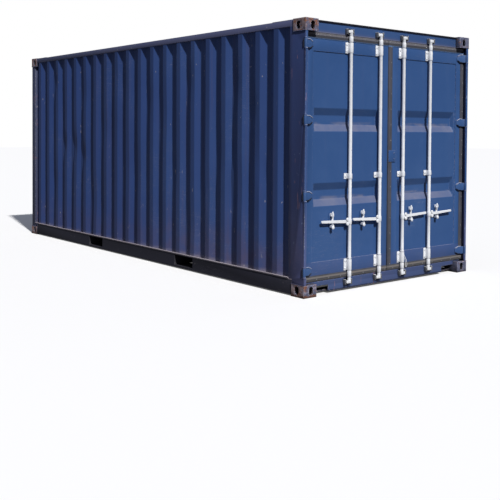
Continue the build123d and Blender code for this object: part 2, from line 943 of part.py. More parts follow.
# Lock rods and their handles
for side_name, side in sides.items():
    for rod_name, rod in rods.items():
        rod_y = side * rod
        pivot_y = side * (rod + handle_pivot)
        with BuildPart() as lock_rod:
            with BuildSketch(Plane.XY.offset(rod_bottom)):
                with Locations((rod_x, rod_y)):
                    Circle(rod_radius)
            extrude(amount=rod_top - rod_bottom)
            for cam_base in (rod_bottom, rod_top - cam_height):
                with BuildSketch(Plane.XY.offset(cam_base)):
                    with Locations((rod_x, rod_y)):
                        Circle(cam_radius)
                    with Locations((rod_x, side * (rod + cam_nose / 2))):
                        Rectangle(cam_width, cam_nose)
                extrude(amount=cam_height)
            collar_base = bottom_bracket[1] + lug_gap
            with BuildSketch(Plane.XY.offset(collar_base)):
                with Locations((rod_x, rod_y)):
                    Circle(collar_radius)
            extrude(amount=collar_height)
            with BuildSketch(Plane.XY.offset(handle_height - hub_height / 2)):
                with Locations((rod_x, rod_y)):
                    Circle(rod_radius + plate)
            extrude(amount=hub_height)
            cheek_reach = handle_thickness / 2 + hub_gap
            for cheek_x in (rod_x - cheek_reach - hub_cheek, rod_x + cheek_reach):
                with BuildSketch(Plane.YZ.offset(cheek_x)):
                    with Locations((side * (rod + handle_pivot / 2), handle_height)):
                        Rectangle(handle_pivot, handle_hub_height)
                    with Locations((pivot_y, handle_height)):
                        Circle(handle_hub_height / 2)
                extrude(amount=hub_cheek)
            with BuildSketch(Plane.YZ.offset(rod_x - cheek_reach - hub_cheek)):
                with Locations((pivot_y, handle_height)):
                    Circle(handle_pin_radius)
            extrude(amount=2 * (cheek_reach + hub_cheek))
        save(lock_rod, f"{side_name}_{rod_name}_lock_rod")

        with BuildPart() as handle:
            with BuildSketch(Plane.YZ.offset(rod_x - handle_thickness / 2)):
                with Locations((pivot_y, handle_height)):
                    Circle(handle_eye_radius)
                grip_end = side * (rod + handle_length - handle_grip_height / 2)
                with Locations((grip_end, handle_height + handle_rise)):
                    Circle(handle_grip_height / 2)
                make_hull()
                with Locations((pivot_y, handle_height)):
                    Circle(handle_pin_radius + pin_clearance, mode=Mode.SUBTRACT)
            extrude(amount=handle_thickness)
        save(handle, f"{side_name}_{rod_name}_handle")
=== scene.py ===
"""Dresses a steel shipping container: worn blue sheets, castings, doors, lock rods and floor."""

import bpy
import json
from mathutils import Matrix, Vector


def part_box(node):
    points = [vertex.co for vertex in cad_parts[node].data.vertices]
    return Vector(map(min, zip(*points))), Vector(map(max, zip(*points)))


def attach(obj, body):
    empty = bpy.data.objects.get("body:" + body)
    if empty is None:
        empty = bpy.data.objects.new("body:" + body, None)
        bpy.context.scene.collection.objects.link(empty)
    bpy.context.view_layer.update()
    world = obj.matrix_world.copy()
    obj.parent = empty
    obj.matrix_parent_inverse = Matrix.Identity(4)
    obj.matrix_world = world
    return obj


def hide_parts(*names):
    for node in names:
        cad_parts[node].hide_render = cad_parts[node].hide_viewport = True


bl_info = {
    "name": "Shipping container dressing",
    "version": (1, 0, 0),
    "blender": (4, 5, 0),
    "location": "3D View > Sidebar > Container",
    "description": "Adds the finished surfaces and small parts of a shipping container",
    "category": "Object",
}

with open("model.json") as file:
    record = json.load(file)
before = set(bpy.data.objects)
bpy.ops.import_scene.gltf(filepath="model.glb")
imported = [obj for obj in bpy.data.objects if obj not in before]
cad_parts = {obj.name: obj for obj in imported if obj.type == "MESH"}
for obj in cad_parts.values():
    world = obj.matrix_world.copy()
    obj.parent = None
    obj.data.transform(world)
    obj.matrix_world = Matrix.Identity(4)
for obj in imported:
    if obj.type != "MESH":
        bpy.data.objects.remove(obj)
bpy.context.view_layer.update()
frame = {"nodes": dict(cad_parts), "record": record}

import json
from collections import namedtuple
from math import cos, exp, pi, radians, sin

import bmesh
import bpy
from bpy.props import FloatProperty, FloatVectorProperty, IntProperty, PointerProperty
from mathutils import Matrix, Vector, noise

SIDES = {"left": -1, "right": 1}

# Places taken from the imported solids, in metres
FITTING_X = -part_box("left_top_side_rail")[0].x
FITTING_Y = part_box("door_header")[1].y
FITTING_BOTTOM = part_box("left_front_post")[0].z
FITTING_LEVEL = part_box("left_front_post")[1].z
RAIL_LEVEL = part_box("left_bottom_side_rail")[1].z
SILL_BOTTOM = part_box("door_sill")[0].z
DOOR_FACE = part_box("left_door_frame")[1].x
PANEL_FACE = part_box("left_door_panel")[1].x

# Pressed sheets: own level, slope, other level, slope, and so on, one pitch after another
Pressing = namedtuple("Pressing", "pitch slope other_flat own_depth other_depth")
WALL = Pressing(pitch=0.282, slope=0.069, other_flat=0.073, own_depth=0.036, other_depth=0.0)
FRONT = Pressing(pitch=0.251, slope=0.018, other_flat=0.104, own_depth=0.0, other_depth=0.045)
ROOF = Pressing(pitch=0.210, slope=0.014, other_flat=0.091, own_depth=0.0, other_depth=0.020)
WALL_END_FLAT, WALL_INNER_FLAT = 0.101, 0.071
FRONT_OUTER_FLAT, ROOF_END_FLAT = 0.111, 0.060
COLUMN_CLEARANCE, ROW_CLEARANCE = 0.002, 0.02
EDGE_HOLD = 0.12

# Dents: where, how narrow along each axis (the larger the narrower), and how deep
Dent = namedtuple("Dent", "centre narrowness depth")
WALL_DENTS = [Dent(*dent) for dent in (
    ((-1.02, 0, 0.62), (5.0, 0, 3.4), 0.012), ((-0.10, 0, 1.05), (7.0, 0, 2.6), 0.010),
    ((-1.62, 0, 1.30), (4.5, 0, 2.2), 0.009), ((1.25, 0, 0.50), (6.0, 0, 4.0), 0.010),
    ((0.62, 0, 1.72), (6.5, 0, 3.0), 0.007), ((2.05, 0, 0.95), (8.0, 0, 3.6), 0.008),
    ((1.93, 0, 2.02), (9.0, 0, 5.0), 0.009), ((2.22, 0, 1.62), (10.0, 0, 4.5), 0.007),
    ((1.66, 0, 1.36), (9.0, 0, 4.0), 0.008), ((1.10, 0, 2.10), (9.0, 0, 5.5), 0.009),
    ((0.80, 0, 1.15), (9.5, 0, 5.0), 0.008), ((0.25, 0, 1.90), (9.0, 0, 4.2), 0.009),
    ((-0.40, 0, 2.18), (9.0, 0, 6.0), 0.010), ((-0.75, 0, 1.55), (8.0, 0, 4.4), 0.009),
    ((-1.35, 0, 2.05), (8.5, 0, 5.0), 0.009), ((-2.05, 0, 1.75), (7.5, 0, 3.8), 0.010),
    ((-2.30, 0, 0.80), (7.0, 0, 3.6), 0.011), ((1.52, 0, 0.85), (9.0, 0, 5.2), 0.008),
    ((1.935, 0, 2.150), (22, 0, 5), 0.018), ((2.217, 0, 1.803), (20, 0, 6), 0.014),
    ((2.219, 0, 1.605), (20, 0, 7), -0.010), ((1.891, 0, 1.349), (22, 0, 6), 0.014),
    ((1.892, 0, 1.144), (20, 0, 6), -0.010), ((2.381, 0, 1.164), (18, 0, 7), 0.011),
    ((-1.967, 0, 1.361), (17, 0, 8), 0.020), ((-1.661, 0, 1.338), (17, 0, 7), 0.020),
    ((-1.395, 0, 1.223), (17, 0, 8), 0.018), ((-2.254, 0, 2.250), (15, 0, 7), 0.016),
)]

# The two troughs of each door panel
TROUGH_HEIGHTS, TROUGH_MOUTH, TROUGH_SLOPE = (0.946, 1.656), 0.222, 0.069
TROUGH_DEPTH, TROUGH_END_MARGIN, TROUGH_END_SLOPE = 0.036, 0.020, 0.022
TROUGH_STEP_SHARES = (-0.10, -0.05, 0.0, 0.05, 0.10, 0.50, 0.90, 0.95, 1.0, 1.05, 1.10)
PANEL_SPACING, PANEL_SHEET = 0.035, 0.003

TROUGH_BEND, PANEL_HOLD, PANEL_SLACK, PANEL_LEAN = 0.06, 0.10, 0.0035, 0.002

# Planks of the floor, and the ribs and rivets of the seals
PLANKS, PLANK_GAP, PLANK_JOINTS, PLANK_SHIFT = 8, 0.003, (-0.75, 1.35), 0.35
SCREW_INSET = 0.035
SEAL_STARTS = {"left": 0.036, "right": -0.027}
RIB_INSETS, RIVET_INSET = (0.006, 0.024, 0.047), 0.015

# Hinges, lock gear and cross members
LOWEST_HINGE, HINGE_PITCH = 0.238, 0.707
HINGE_HEIGHTS = tuple(LOWEST_HINGE + HINGE_PITCH * k for k in range(4))
HINGE_PIN_X, HINGE_PIN_Y, PIN_CAP_RISE = 3.013, 1.203, 0.0520
ROD_AXIS_X, HANDLE_LEVEL = 2.996, 0.675
ROD_PLACES = {"outer": 0.597, "inner": 0.174}
CATCH_PLACES = {"left": 0.230, "right": 0.138}
KNOB_LEVEL, FINGER_LEVEL = 0.630, 0.752
SLEEVE_SPANS = ((2.409, 2.461), (0.136, 0.194))
SLEEVE_BORE, SLEEVE_RADIUS, SLEEVE_EASE = 0.0165, 0.0215, 0.001
BOLT_LEVELS, MIDDLE_BOLT_LEVEL = (2.3215, 2.3845, 0.219, 0.290), 1.114
BOLT_INSET, BOLT_RISE = 0.036, 0.006
BLADE_RISE = 0.016
LEDGE_Y, SEAM_TOP = 1.2125, 2.525
MEMBERS_IN_GROUP = 6
MIDDLE_MEMBER_REACH, OUTER_MEMBER_START, OUTER_MEMBER_SPAN = 0.796, 1.254, 1.52

# Turned parts of the lock gear: radius and distance along the axis
BOSS_RISE, BOSS_OFFSET, BOSS_SPREAD, HEAD_RISE = 0.0105, 0.040, 0.021, 0.030
FINGER_LEAN = Vector((0.10, 0.20, 0.97))
BOSS_PROFILE = [(0.0, -0.0035), (0.015, -0.0035), (0.0175, -0.001), (0.0175, 0.006),
                (0.014, 0.010), (0.0, 0.011)]
KNOB_PROFILE = [(0.0, 0.0), (0.012, 0.0), (0.0165, 0.005), (0.0175, 0.012),
                (0.0160, 0.018), (0.010, 0.0215), (0.0, 0.0225)]
FINGER_PROFILE = [(0.0, -0.018), (0.012, -0.016), (0.0125, -0.004), (0.0080, 0.003),
                  (0.0070, 0.012), (0.0085, 0.018), (0.0085, 0.023), (0.0055, 0.029),
                  (0.0, 0.031)]
STEM_PROFILE = [(0.0, -0.068), (0.011, -0.066), (0.0125, -0.058), (0.0125, 0.052),
                (0.010, 0.058), (0.0, 0.060)]


# Settings that a user would change

def colour_setting(name, description, default):
    return FloatVectorProperty(
        name=name, description=description, subtype="COLOR", default=default)


def length_setting(name, description, default):
    return FloatProperty(name=name, description=description, unit="LENGTH", default=default)


def angle_setting(name, description, degrees):
    return FloatProperty(
        name=name, description=description, unit="ROTATION", default=radians(degrees))


class StageSettings(bpy.types.PropertyGroup):
    """The camera, the lamps and the floor."""

    camera_place: FloatVectorProperty(
        name="Camera place", description="Where the camera stands", subtype="TRANSLATION",
        default=(8.5313, -6.1970, 1.5441))
    camera_azimuth: angle_setting("Camera azimuth", "Turn of the camera about the vertical", 49.864)
    camera_elevation: angle_setting("Camera elevation", "Camera above the horizon", 1.458)
    camera_roll: angle_setting("Camera roll", "Lean of the camera", 0.394)
    focal_length: FloatProperty(
        name="Focal length", description="Lens on a 36 mm sensor, in millimetres",
        default=58.269)
    shift_right: FloatProperty(
        name="Shift right", description="Lens shift to the right, in frame widths",
        default=-0.0533)
    shift_up: FloatProperty(
        name="Shift up", description="Lens shift upwards, in frame widths", default=-0.1963)
    sun_strength: FloatProperty(
        name="Sun", description="Strength of the main lamp", default=3.9)
    sun_softness: angle_setting("Sun softness", "Apparent size of the main lamp", 2.0)
    sun_azimuth: angle_setting("Sun azimuth", "Turn of the main lamp from +X towards -Y", 15.0)
    sun_elevation: angle_setting("Sun elevation", "Height of the main lamp", 43.5)
    sun_colour: colour_setting("Sun colour", "Colour of the main lamp", (1.0, 0.985, 0.96))
    fill_strength: FloatProperty(
        name="Fill", description="Strength of the light from all round", default=0.115)
    fill_tint: FloatVectorProperty(
        name="Fill tint", description="Red, green and blue of the light from all round",
        default=(0.74, 0.87, 1.25))
    floor_white: colour_setting("Floor", "Colour of the floor to the camera", (0.97, 0.97, 0.97))
    floor_glow: colour_setting(
        "Floor glow", "Light that the floor gives to the camera", (0.08, 0.08, 0.08))
    floor_bounce: colour_setting(
        "Floor bounce", "Colour of the floor to all but the camera", (0.14, 0.14, 0.145))
    floor_reach: length_setting("Floor reach", "Half the width of the floor", 60.0)


class PaintSettings(bpy.types.PropertyGroup):
    """Colours and wear of the painted steel."""

    blue: colour_setting("Blue", "Paint of the doors", (0.030, 0.084, 0.236))
    faded_blue: colour_setting("Faded blue", "Chalked paint", (0.050, 0.114, 0.280))
    dull_blue: colour_setting("Dull blue", "Duller paint of the walls", (0.034, 0.073, 0.232))
    # Painted shade: the darker paint of the walls' far end
    far_shade_blue: colour_setting("Far blue", "Walls towards their far end", (0.020, 0.044, 0.160))
    post_blue: colour_setting("Post blue", "Purplish paint of the posts", (0.040, 0.060, 0.178))
    header_blue: colour_setting("Header blue", "Paint of the door header", (0.042, 0.098, 0.262))
    sill_blue: colour_setting("Sill blue", "Paint of the door sill", (0.064, 0.092, 0.212))
    rail_blue: colour_setting("Rail blue", "Paint of the top side rails", (0.115, 0.130, 0.255))
    dark_blue: colour_setting("Dark blue", "Paint of the underframe", (0.021, 0.021, 0.035))
    pale: colour_setting("Pale paint", "Paint of the lock rods", (0.82, 0.84, 0.88))
    rust: colour_setting("Rust", "Colour of old rust", (0.115, 0.040, 0.022))
    bright_rust: colour_setting("Bright rust", "Colour of fresh rust", (0.32, 0.125, 0.050))
    dust: colour_setting("Dust", "Colour of dust and road dirt", (0.200, 0.200, 0.270))
    ledge_dust: colour_setting("Ledge dust", "Colour of the dust on ledges", (0.34, 0.30, 0.33))
    chip: colour_setting("Chipped edge", "Colour of rubbed primer", (0.46, 0.42, 0.44))
    cream: colour_setting("Cream chips", "Primer under the knocks of a post", (0.60, 0.56, 0.52))
    rub: colour_setting("Rub marks", "Reddish marks of other boxes", (0.30, 0.17, 0.21))
    soil: colour_setting("Soil", "Reddish dirt on the walls", (0.085, 0.062, 0.130))
    # Painted shade: near-black laid into notches and corners where other surfaces crowd in
    shadow: colour_setting("Deep dirt", "Dirt in notches and corners", (0.006, 0.007, 0.014))
    rubber: colour_setting("Rubber", "Colour of the door seals", (0.058, 0.060, 0.078))


class SheetSettings(bpy.types.PropertyGroup):
    """Sizes of the corrugated sheets."""

    bend_columns: IntProperty(
        name="Columns at a bend", description="Vertices across each rounded bend",
        default=5, min=3)
    rows: IntProperty(
        name="Rows", description="Vertices up each sheet", default=41, min=3)
    softness: FloatProperty(
        name="Softness", description="Rounding of the bends, as a share of the slope",
        default=0.11)
    buckle: length_setting("Buckle", "Height of the slow waves in a sheet", 0.0035)
    thickness: length_setting("Thickness", "Thickness of the sheets", 0.002)


class HardwareSettings(bpy.types.PropertyGroup):
    """Sizes of small parts."""

    edge: length_setting("Edge", "Rounding of the edges of rolled steel", 0.0016)
    cast_edge: length_setting("Cast edge", "Rounding of the edges of castings", 0.005)
    bolt_radius: length_setting("Bolt", "Radius of a bolt head", 0.0085)
    bolt_height: length_setting("Bolt height", "Height of a bolt head", 0.006)
    rivet_spacing: length_setting("Rivet spacing", "Distance between rivets of a seal", 0.15)
    weld_radius: length_setting("Weld", "Radius of a weld bead", 0.004)


# Node maths

class Value:
    """A socket of a node tree that takes part in sums."""

    def __init__(self, tree, socket):
        self.tree = tree
        self.socket = socket

    def _maths(self, operation, *terms):
        node = self.tree.nodes.new("ShaderNodeMath")
        node.operation = operation
        for socket, term in zip(node.inputs, terms):
            if isinstance(term, Value):
                self.tree.links.new(term.socket, socket)
            else:
                socket.default_value = term
        return Value(self.tree, node.outputs[0])

    def __add__(self, other):
        return self._maths("ADD", self, other)

    def __radd__(self, other):
        return self._maths("ADD", other, self)

    def __sub__(self, other):
        return self._maths("SUBTRACT", self, other)

    def __rsub__(self, other):
        return self._maths("SUBTRACT", other, self)

    def __mul__(self, other):
        return self._maths("MULTIPLY", self, other)

    def __rmul__(self, other):
        return self._maths("MULTIPLY", other, self)

    def __truediv__(self, other):
        return self._maths("DIVIDE", self, other)

    def __rtruediv__(self, other):
        return self._maths("DIVIDE", other, self)

    def __abs__(self):
        return self._maths("ABSOLUTE", self)

    def floored(self):
        return self._maths("FLOOR", self)

    def least(self, other, softness=None):
        """The smaller of two values, with the corner rounded where a softness is given."""
        if softness is None:
            return self._maths("MINIMUM", self, other)
        return self._maths("SMOOTH_MIN", self, other, softness)

    def most(self, other, softness=None):
        """The larger of two values, with the corner rounded where a softness is given."""
        if softness is None:
            return self._maths("MAXIMUM", self, other)
        return self._maths("SMOOTH_MAX", self, other, softness)

    def clamped(self):
        return self.most(0.0).least(1.0)

    def between(self, low, high):
        """0 at low and below, 1 at high and above, and smooth between."""
        node = self.tree.nodes.new("ShaderNodeMapRange")
        node.interpolation_type = "SMOOTHSTEP"
        self.tree.links.new(self.socket, node.inputs["Value"])
        node.inputs["From Min"].default_value = min(low, high)
        node.inputs["From Max"].default_value = max(low, high)
        node.inputs["To Min"].default_value = 0.0 if low < high else 1.0
        node.inputs["To Max"].default_value = 1.0 if low < high else 0.0
        return Value(self.tree, node.outputs["Result"])


class Nodes:
    """A node tree that is being built."""

    def __init__(self, tree):
        self.tree = tree

    def feed(self, socket, value):
        if isinstance(value, Value):
            value = value.socket
        if isinstance(value, bpy.types.NodeSocket):
            self.tree.links.new(value, socket)
        elif socket.type == "RGBA" and len(value) == 3:
            socket.default_value = (*value, 1.0)
        else:
            socket.default_value = value

    def node(self, kind, settings=None, inputs=None):
        """Adds a node: its settings first, then the values or links of its sockets."""
        node = self.tree.nodes.new(kind)
        for name, value in (settings or {}).items():
            setattr(node, name, value)
        for name, value in (inputs or {}).items():
            self.feed(node.inputs[name], value)
        return node


class Finish(Nodes):
    """A material whose surface is built up from nodes."""

    def __init__(self, name):
        self.material = bpy.data.materials.new(name)
        self.material.use_nodes = True
        super().__init__(self.material.node_tree)
        self.shader = self.tree.nodes["Principled BSDF"]
        self.place = self.node("ShaderNodeTexCoord").outputs["Object"]

    def stretched(self, scale):
        """The place on the piece, scaled by three factors."""
        return self.node(
            "ShaderNodeMapping", inputs={"Vector": self.place, "Scale": scale}).outputs[0]

    def noise(self, scale, detail=4.0, roughness=0.6, stretch=(1, 1, 1), distortion=0.0):
        node = self.node("ShaderNodeTexNoise", inputs={
            "Vector": self.stretched(stretch), "Scale": scale, "Detail": detail,
            "Roughness": roughness, "Distortion": distortion})
        return Value(self.tree, node.outputs[0])

    def cracks(self, scale):
        """1 on the borders of cells, as in old rubber, and 0 within them."""
        node = self.node("ShaderNodeTexVoronoi", {"feature": "DISTANCE_TO_EDGE"}, {
            "Vector": self.stretched((1, 1, 1)), "Scale": scale})
        return Value(self.tree, node.outputs["Distance"]).between(0.05, 0.0)

    def axis(self, name):
        node = self.node("ShaderNodeSeparateXYZ", inputs={"Vector": self.place})
        return Value(self.tree, node.outputs[name])

    def band(self, low, high, ease):
        """1 between two heights, with an eased border inside and outside of each."""
        height = self.axis("Z")
        return (height.between(low - ease, low + ease)
                * height.between(high + ease, high - ease))

    def facing(self, name):
        """How far the surface faces along an axis, from -1 to 1."""
        normal = self.node("ShaderNodeNewGeometry").outputs["Normal"]
        node = self.node("ShaderNodeSeparateXYZ", inputs={"Vector": normal})
        return Value(self.tree, node.outputs[name])

    def edges(self, radius, samples=4):
        """1 at the edges and corners of the piece, and 0 away from them."""
        bevel = self.node("ShaderNodeBevel", {"samples": samples}, {"Radius": radius})
        normal = self.node("ShaderNodeNewGeometry").outputs["Normal"]
        match = self.node("ShaderNodeVectorMath", {"operation": "DOT_PRODUCT"},
                          {0: bevel.outputs[0], 1: normal})
        return (1.0 - Value(self.tree, match.outputs["Value"])).between(0.01, 0.12)

    def hollow(self, reach, samples=4):
        """1 where other surfaces crowd in, and 0 in the open."""
        node = self.node(
            "ShaderNodeAmbientOcclusion", {"samples": samples}, {"Distance": reach})
        return 1.0 - Value(self.tree, node.outputs["AO"])

    def mix(self, factor, low, high):
        node = self.node(
            "ShaderNodeMix", {"data_type": "RGBA"}, {0: factor, 6: low, 7: high})
        return node.outputs[2]

    def bump(self, height, strength, distance, under=None):
        inputs = {"Height": height, "Strength": strength, "Distance": distance}
        if under is not None:
            inputs["Normal"] = under
        return self.node("ShaderNodeBump", inputs=inputs).outputs[0]

    def done(self, colour, roughness, normal=None, metallic=None, specular=0.5):
        self.feed(self.shader.inputs["Base Color"], colour)
        self.feed(self.shader.inputs["Roughness"], roughness)
        self.shader.inputs["Specular IOR Level"].default_value = specular
        if metallic is not None:
            self.feed(self.shader.inputs["Metallic"], metallic)
        if normal is not None:
            self.tree.links.new(normal, self.shader.inputs["Normal"])
        return self.material


# Finishes

def worn_paint(name, colour, faded, rust=0.4, dirt=0.5, streaks=0.5, edge_rub_and_light=0.6,
               low_dirt=0.5, gloss=0.42, top_dust_and_sheen=0.0, fading=0.5, specks=0.0, worn=None,
               front=None, marks=0.0, shaded=None, deposit=0.0, nook_shade=0.0, chipped=None,
               height_bands=()):
    """Old gloss paint on steel: chalky fading, rain streaks, chips, scratches and rust.

    front is the paint of faces towards the doors, shaded is painted shade towards the far end,
    and worn the colour of rubbed edges; edge_rub_and_light sets how much the edges are rubbed,
    and on the posts it also stands for a painted highlight along them. top_dust_and_sheen is
    dust on upward faces that also stands for painted sheen there. marks and deposit are the
    amounts of rub marks and of dust in the troughs, and nook_shade that of near-black painted
    shade in notches and corners. chipped is a span of heights. Each of the height_bands is
    (height where it is full, height where it ends, amount, colour)."""
    paint = bpy.context.scene.container_paint
    finish = Finish(name)
    clouds = finish.noise(0.9, 5.0, 0.6)
    patches = finish.noise(5.0, 6.0, 0.62)
    runs = finish.noise(1.0, 5.0, 0.6, stretch=(14.0, 14.0, 0.45))
    fine = finish.noise(55.0, 4.0, 0.6)
    edge = finish.edges(0.007)
    height = finish.axis("Z")
    if front is not None:
        colour = finish.mix(finish.facing("X").between(0.4, 0.8), colour, front)
    surface = finish.mix(clouds.between(0.35, 0.68) * fading, colour, faded)
    chalk = (patches.between(0.5, 0.75) * 0.35 + runs.between(0.5, 0.72) * streaks * 0.5)
    surface = finish.mix((chalk * fading).clamped(), surface, faded)
    splash = height.between(0.9, 0.02) * low_dirt * patches.between(0.3, 0.7)
    grime = (runs.between(0.5, 0.72) * streaks * 0.6 + splash).clamped() * dirt
    surface = finish.mix(grime, surface, paint.soil)
    # Dust on upward faces, which also stands for painted sheen of the sky on them
    upward = finish.facing("Z").between(0.22, 0.42)
    dust_and_sheen = upward * top_dust_and_sheen * (patches.between(0.2, 0.75) * 0.5 + 0.5)
    surface = finish.mix(dust_and_sheen.clamped(), surface, paint.dust)
    # Bands of colour by height: dirt and dust, near-black lines on the header and sill, and a faint
    # light line on the doors
    for full, end, amount, tint in height_bands:
        height_band = height.between(end, full) * (patches.between(0.3, 0.7) * 0.4 + 0.6)
        surface = finish.mix(height_band * amount, surface, tint)
    if marks:
        rub = finish.noise(1.0, 2.0, 0.5, stretch=(34.0, 34.0, 5.0)).between(0.67, 0.71)
        rub = rub * finish.axis("Y").between(0.05, -0.15)
        surface = finish.mix(rub * marks, surface, paint.rub)
    # Painted shade: the paint darkens towards the far end of the piece
    if shaded is not None:
        surface = finish.mix(finish.axis("X").between(1.2, -0.6) * 0.55, surface, shaded)
    if deposit:
        ragged = finish.noise(1.0, 5.0, 0.62, stretch=(1.0, 3.2, 9.0)).between(0.42, 0.62)
        sunk = finish.axis("X").between(PANEL_FACE - 0.025, PANEL_FACE - 0.031)
        for middle in TROUGH_HEIGHTS:
            rim = middle - TROUGH_MOUTH / 2 + TROUGH_SLOPE
            band = height.between(rim + 0.034, rim + 0.012) * height.between(rim - 0.02, rim)
            surface = finish.mix(band * sunk * ragged * deposit, surface, paint.dust)
    scratch = finish.noise(1.0, 3.0, 0.5, stretch=(5.0, 5.0, 60.0), distortion=0.6)
    line = abs(scratch - 0.5).between(0.006, 0.0) * clouds.between(0.52, 0.62)
    fleck = finish.noise(38.0, 3.0, 0.55, stretch=(1.0, 1.0, 0.4)).between(0.68, 0.72)
    # Rubbed edges, scratches and flecks in the worn colour; on the posts the rubbed edges also
    # stand for a painted highlight
    rubbed = (edge * fine.between(0.42, 0.6) * edge_rub_and_light + line * 0.35
              + fleck * patches.between(0.45, 0.6) * specks).clamped()
    surface = finish.mix(rubbed, surface, worn or paint.chip)
    if chipped is not None:
        near = finish.axis("Y").between(-1.208, -1.214)
        knocks = edge * finish.band(*chipped, 0.03) * near * fine.between(0.34, 0.5)
        surface = finish.mix(knocks, surface, paint.cream)
    # Painted shade: near-black where other surfaces crowd in, in notches and corners
    if nook_shade:
        sunk = finish.hollow(0.045).between(0.24, 0.50)
        surface = finish.mix(sunk * nook_shade, surface, paint.shadow)
    spots = finish.noise(11.0, 9.0, 0.7)
    worst = 0.70 - 0.10 * rust
    pits = spots.between(worst, worst + 0.05)
    rim = edge * patches.between(0.62 - 0.2 * rust, 0.72) * fine.between(0.3, 0.55)
    rusted = (pits * patches.between(0.4, 0.6) + rim).clamped() * min(1.0, rust * 1.6)
    rust_colour = finish.mix(fine.between(0.35, 0.7), paint.rust, paint.bright_rust)
    surface = finish.mix(rusted, surface, rust_colour)
    rough = (gloss + chalk * 0.22 + grime * 0.25 + rusted * 0.4).clamped()
    waves = finish.noise(2.2, 3.0, 0.5)
    normal = finish.bump(waves, 0.35, 0.012)
    normal = finish.bump(finish.noise(90.0, 3.0, 0.6), 0.12, 0.002, normal)
    normal = finish.bump(rusted * 0.7 + rubbed * -0.4, 0.5, 0.0015, normal)
    return finish.done(surface, rough, normal)


def casting(name):
    """Cast steel corner: paint over a grainy skin, much of it knocked off to brown rust, with
    near-black painted shade in its hollows.
    """
    paint = bpy.context.scene.container_paint
    finish = Finish(name)
    broad = finish.noise(15.0, 7.0, 0.68)
    fine = finish.noise(70.0, 5.0, 0.65)
    bare = finish.noise(24.0, 6.0, 0.66)
    edge = finish.edges(0.012)
    flank = abs(finish.facing("Y")).between(0.4, 0.8)
    nearness = finish.axis("Y").between(1.2, -1.2)
    surface = finish.mix(flank * nearness, (0.140, 0.152, 0.232), (0.350, 0.262, 0.270))
    surface = finish.mix(broad.between(0.44, 0.60) * 0.6, surface, (0.040, 0.040, 0.085))
    lilac = bare.between(0.54, 0.63) * (nearness * 0.55 + 0.2)
    surface = finish.mix(lilac, surface, (0.34, 0.32, 0.41))
    bias = nearness * (0.085 + finish.axis("Z").between(0.035, 0.0) * 0.2)
    knocked = ((finish.noise(19.0, 7.0, 0.7) + bias).between(0.575, 0.64) * 0.85
               + nearness * finish.axis("Z").between(0.010, 0.0) * fine.between(0.35, 0.5)
               * 0.8).clamped()
    rust_colour = finish.mix(fine.between(0.4, 0.62), paint.rust, paint.bright_rust)
    surface = finish.mix(knocked, surface, rust_colour)
    # Rubbed pale lilac edges, which also stand for highlights along them
    rims = edge * bare.between(0.40, 0.54) * finish.axis("Z").between(0.008, 0.020)
    surface = finish.mix(rims * 0.9, surface, (0.50, 0.46, 0.54))
    # Painted shade: near-black in the hollows of the casting
    surface = finish.mix(finish.hollow(0.10).between(0.22, 0.55), surface, (0.008, 0.007, 0.009))
    normal = finish.bump(finish.noise(35.0, 5.0, 0.6), 0.4, 0.003)
    normal = finish.bump(fine, 0.4, 0.0015, normal)
    return finish.done(surface, 0.5 + knocked * 0.35, normal)


def pale_paint(name, sunk=None, smeared_and_shaded=0.0):
    """Thick pale paint with rust at the chips, and near-black painted shade in its crevices.

    It is blue behind the sunk place along X. smeared_and_shaded is the amount of near-black on
    all but edges and upper faces, for dark oily grime and painted shade."""
    paint = bpy.context.scene.container_paint
    finish = Finish(name)
    broad = finish.noise(16.0, 5.0, 0.6)
    fine = finish.noise(120.0, 4.0, 0.6)
    edge = finish.edges(0.004)
    grey = tuple(0.80 * c for c in paint.pale)
    surface = finish.mix(broad.between(0.45, 0.75) * 0.5, paint.pale, grey)
    spots = finish.noise(28.0, 6.0, 0.7).between(0.6, 0.72) * 0.4
    surface = finish.mix(spots, surface, paint.dust)
    # Painted shade: near-black where other surfaces crowd in, in crevices
    corner_shade_mask = finish.hollow(0.022).between(0.42, 0.85) * 0.85
    # Dark oily grime and painted shade on all but edges and upper faces
    rim = finish.edges(0.005) + finish.facing("Z").between(0.5, 0.8)
    smear_and_shade_mask = (1.0 - rim.clamped()) * smeared_and_shaded
    surface = finish.mix((corner_shade_mask + smear_and_shade_mask).clamped(), surface, (0.012, 0.013, 0.020))
    chipped = (edge * fine.between(0.55, 0.68) * broad.between(0.5, 0.62)).clamped()
    rust_colour = finish.mix(fine, paint.rust, paint.bright_rust)
    surface = finish.mix(chipped, surface, rust_colour)
    if sunk is not None:
        surface = finish.mix(
            finish.axis("X").between(sunk - 0.001, sunk + 0.001), paint.blue, surface)
    normal = finish.bump(finish.noise(60.0, 4.0, 0.6), 0.25, 0.0015)
    return finish.done(surface, 0.38 + chipped * 0.4 + broad * 0.12, normal)


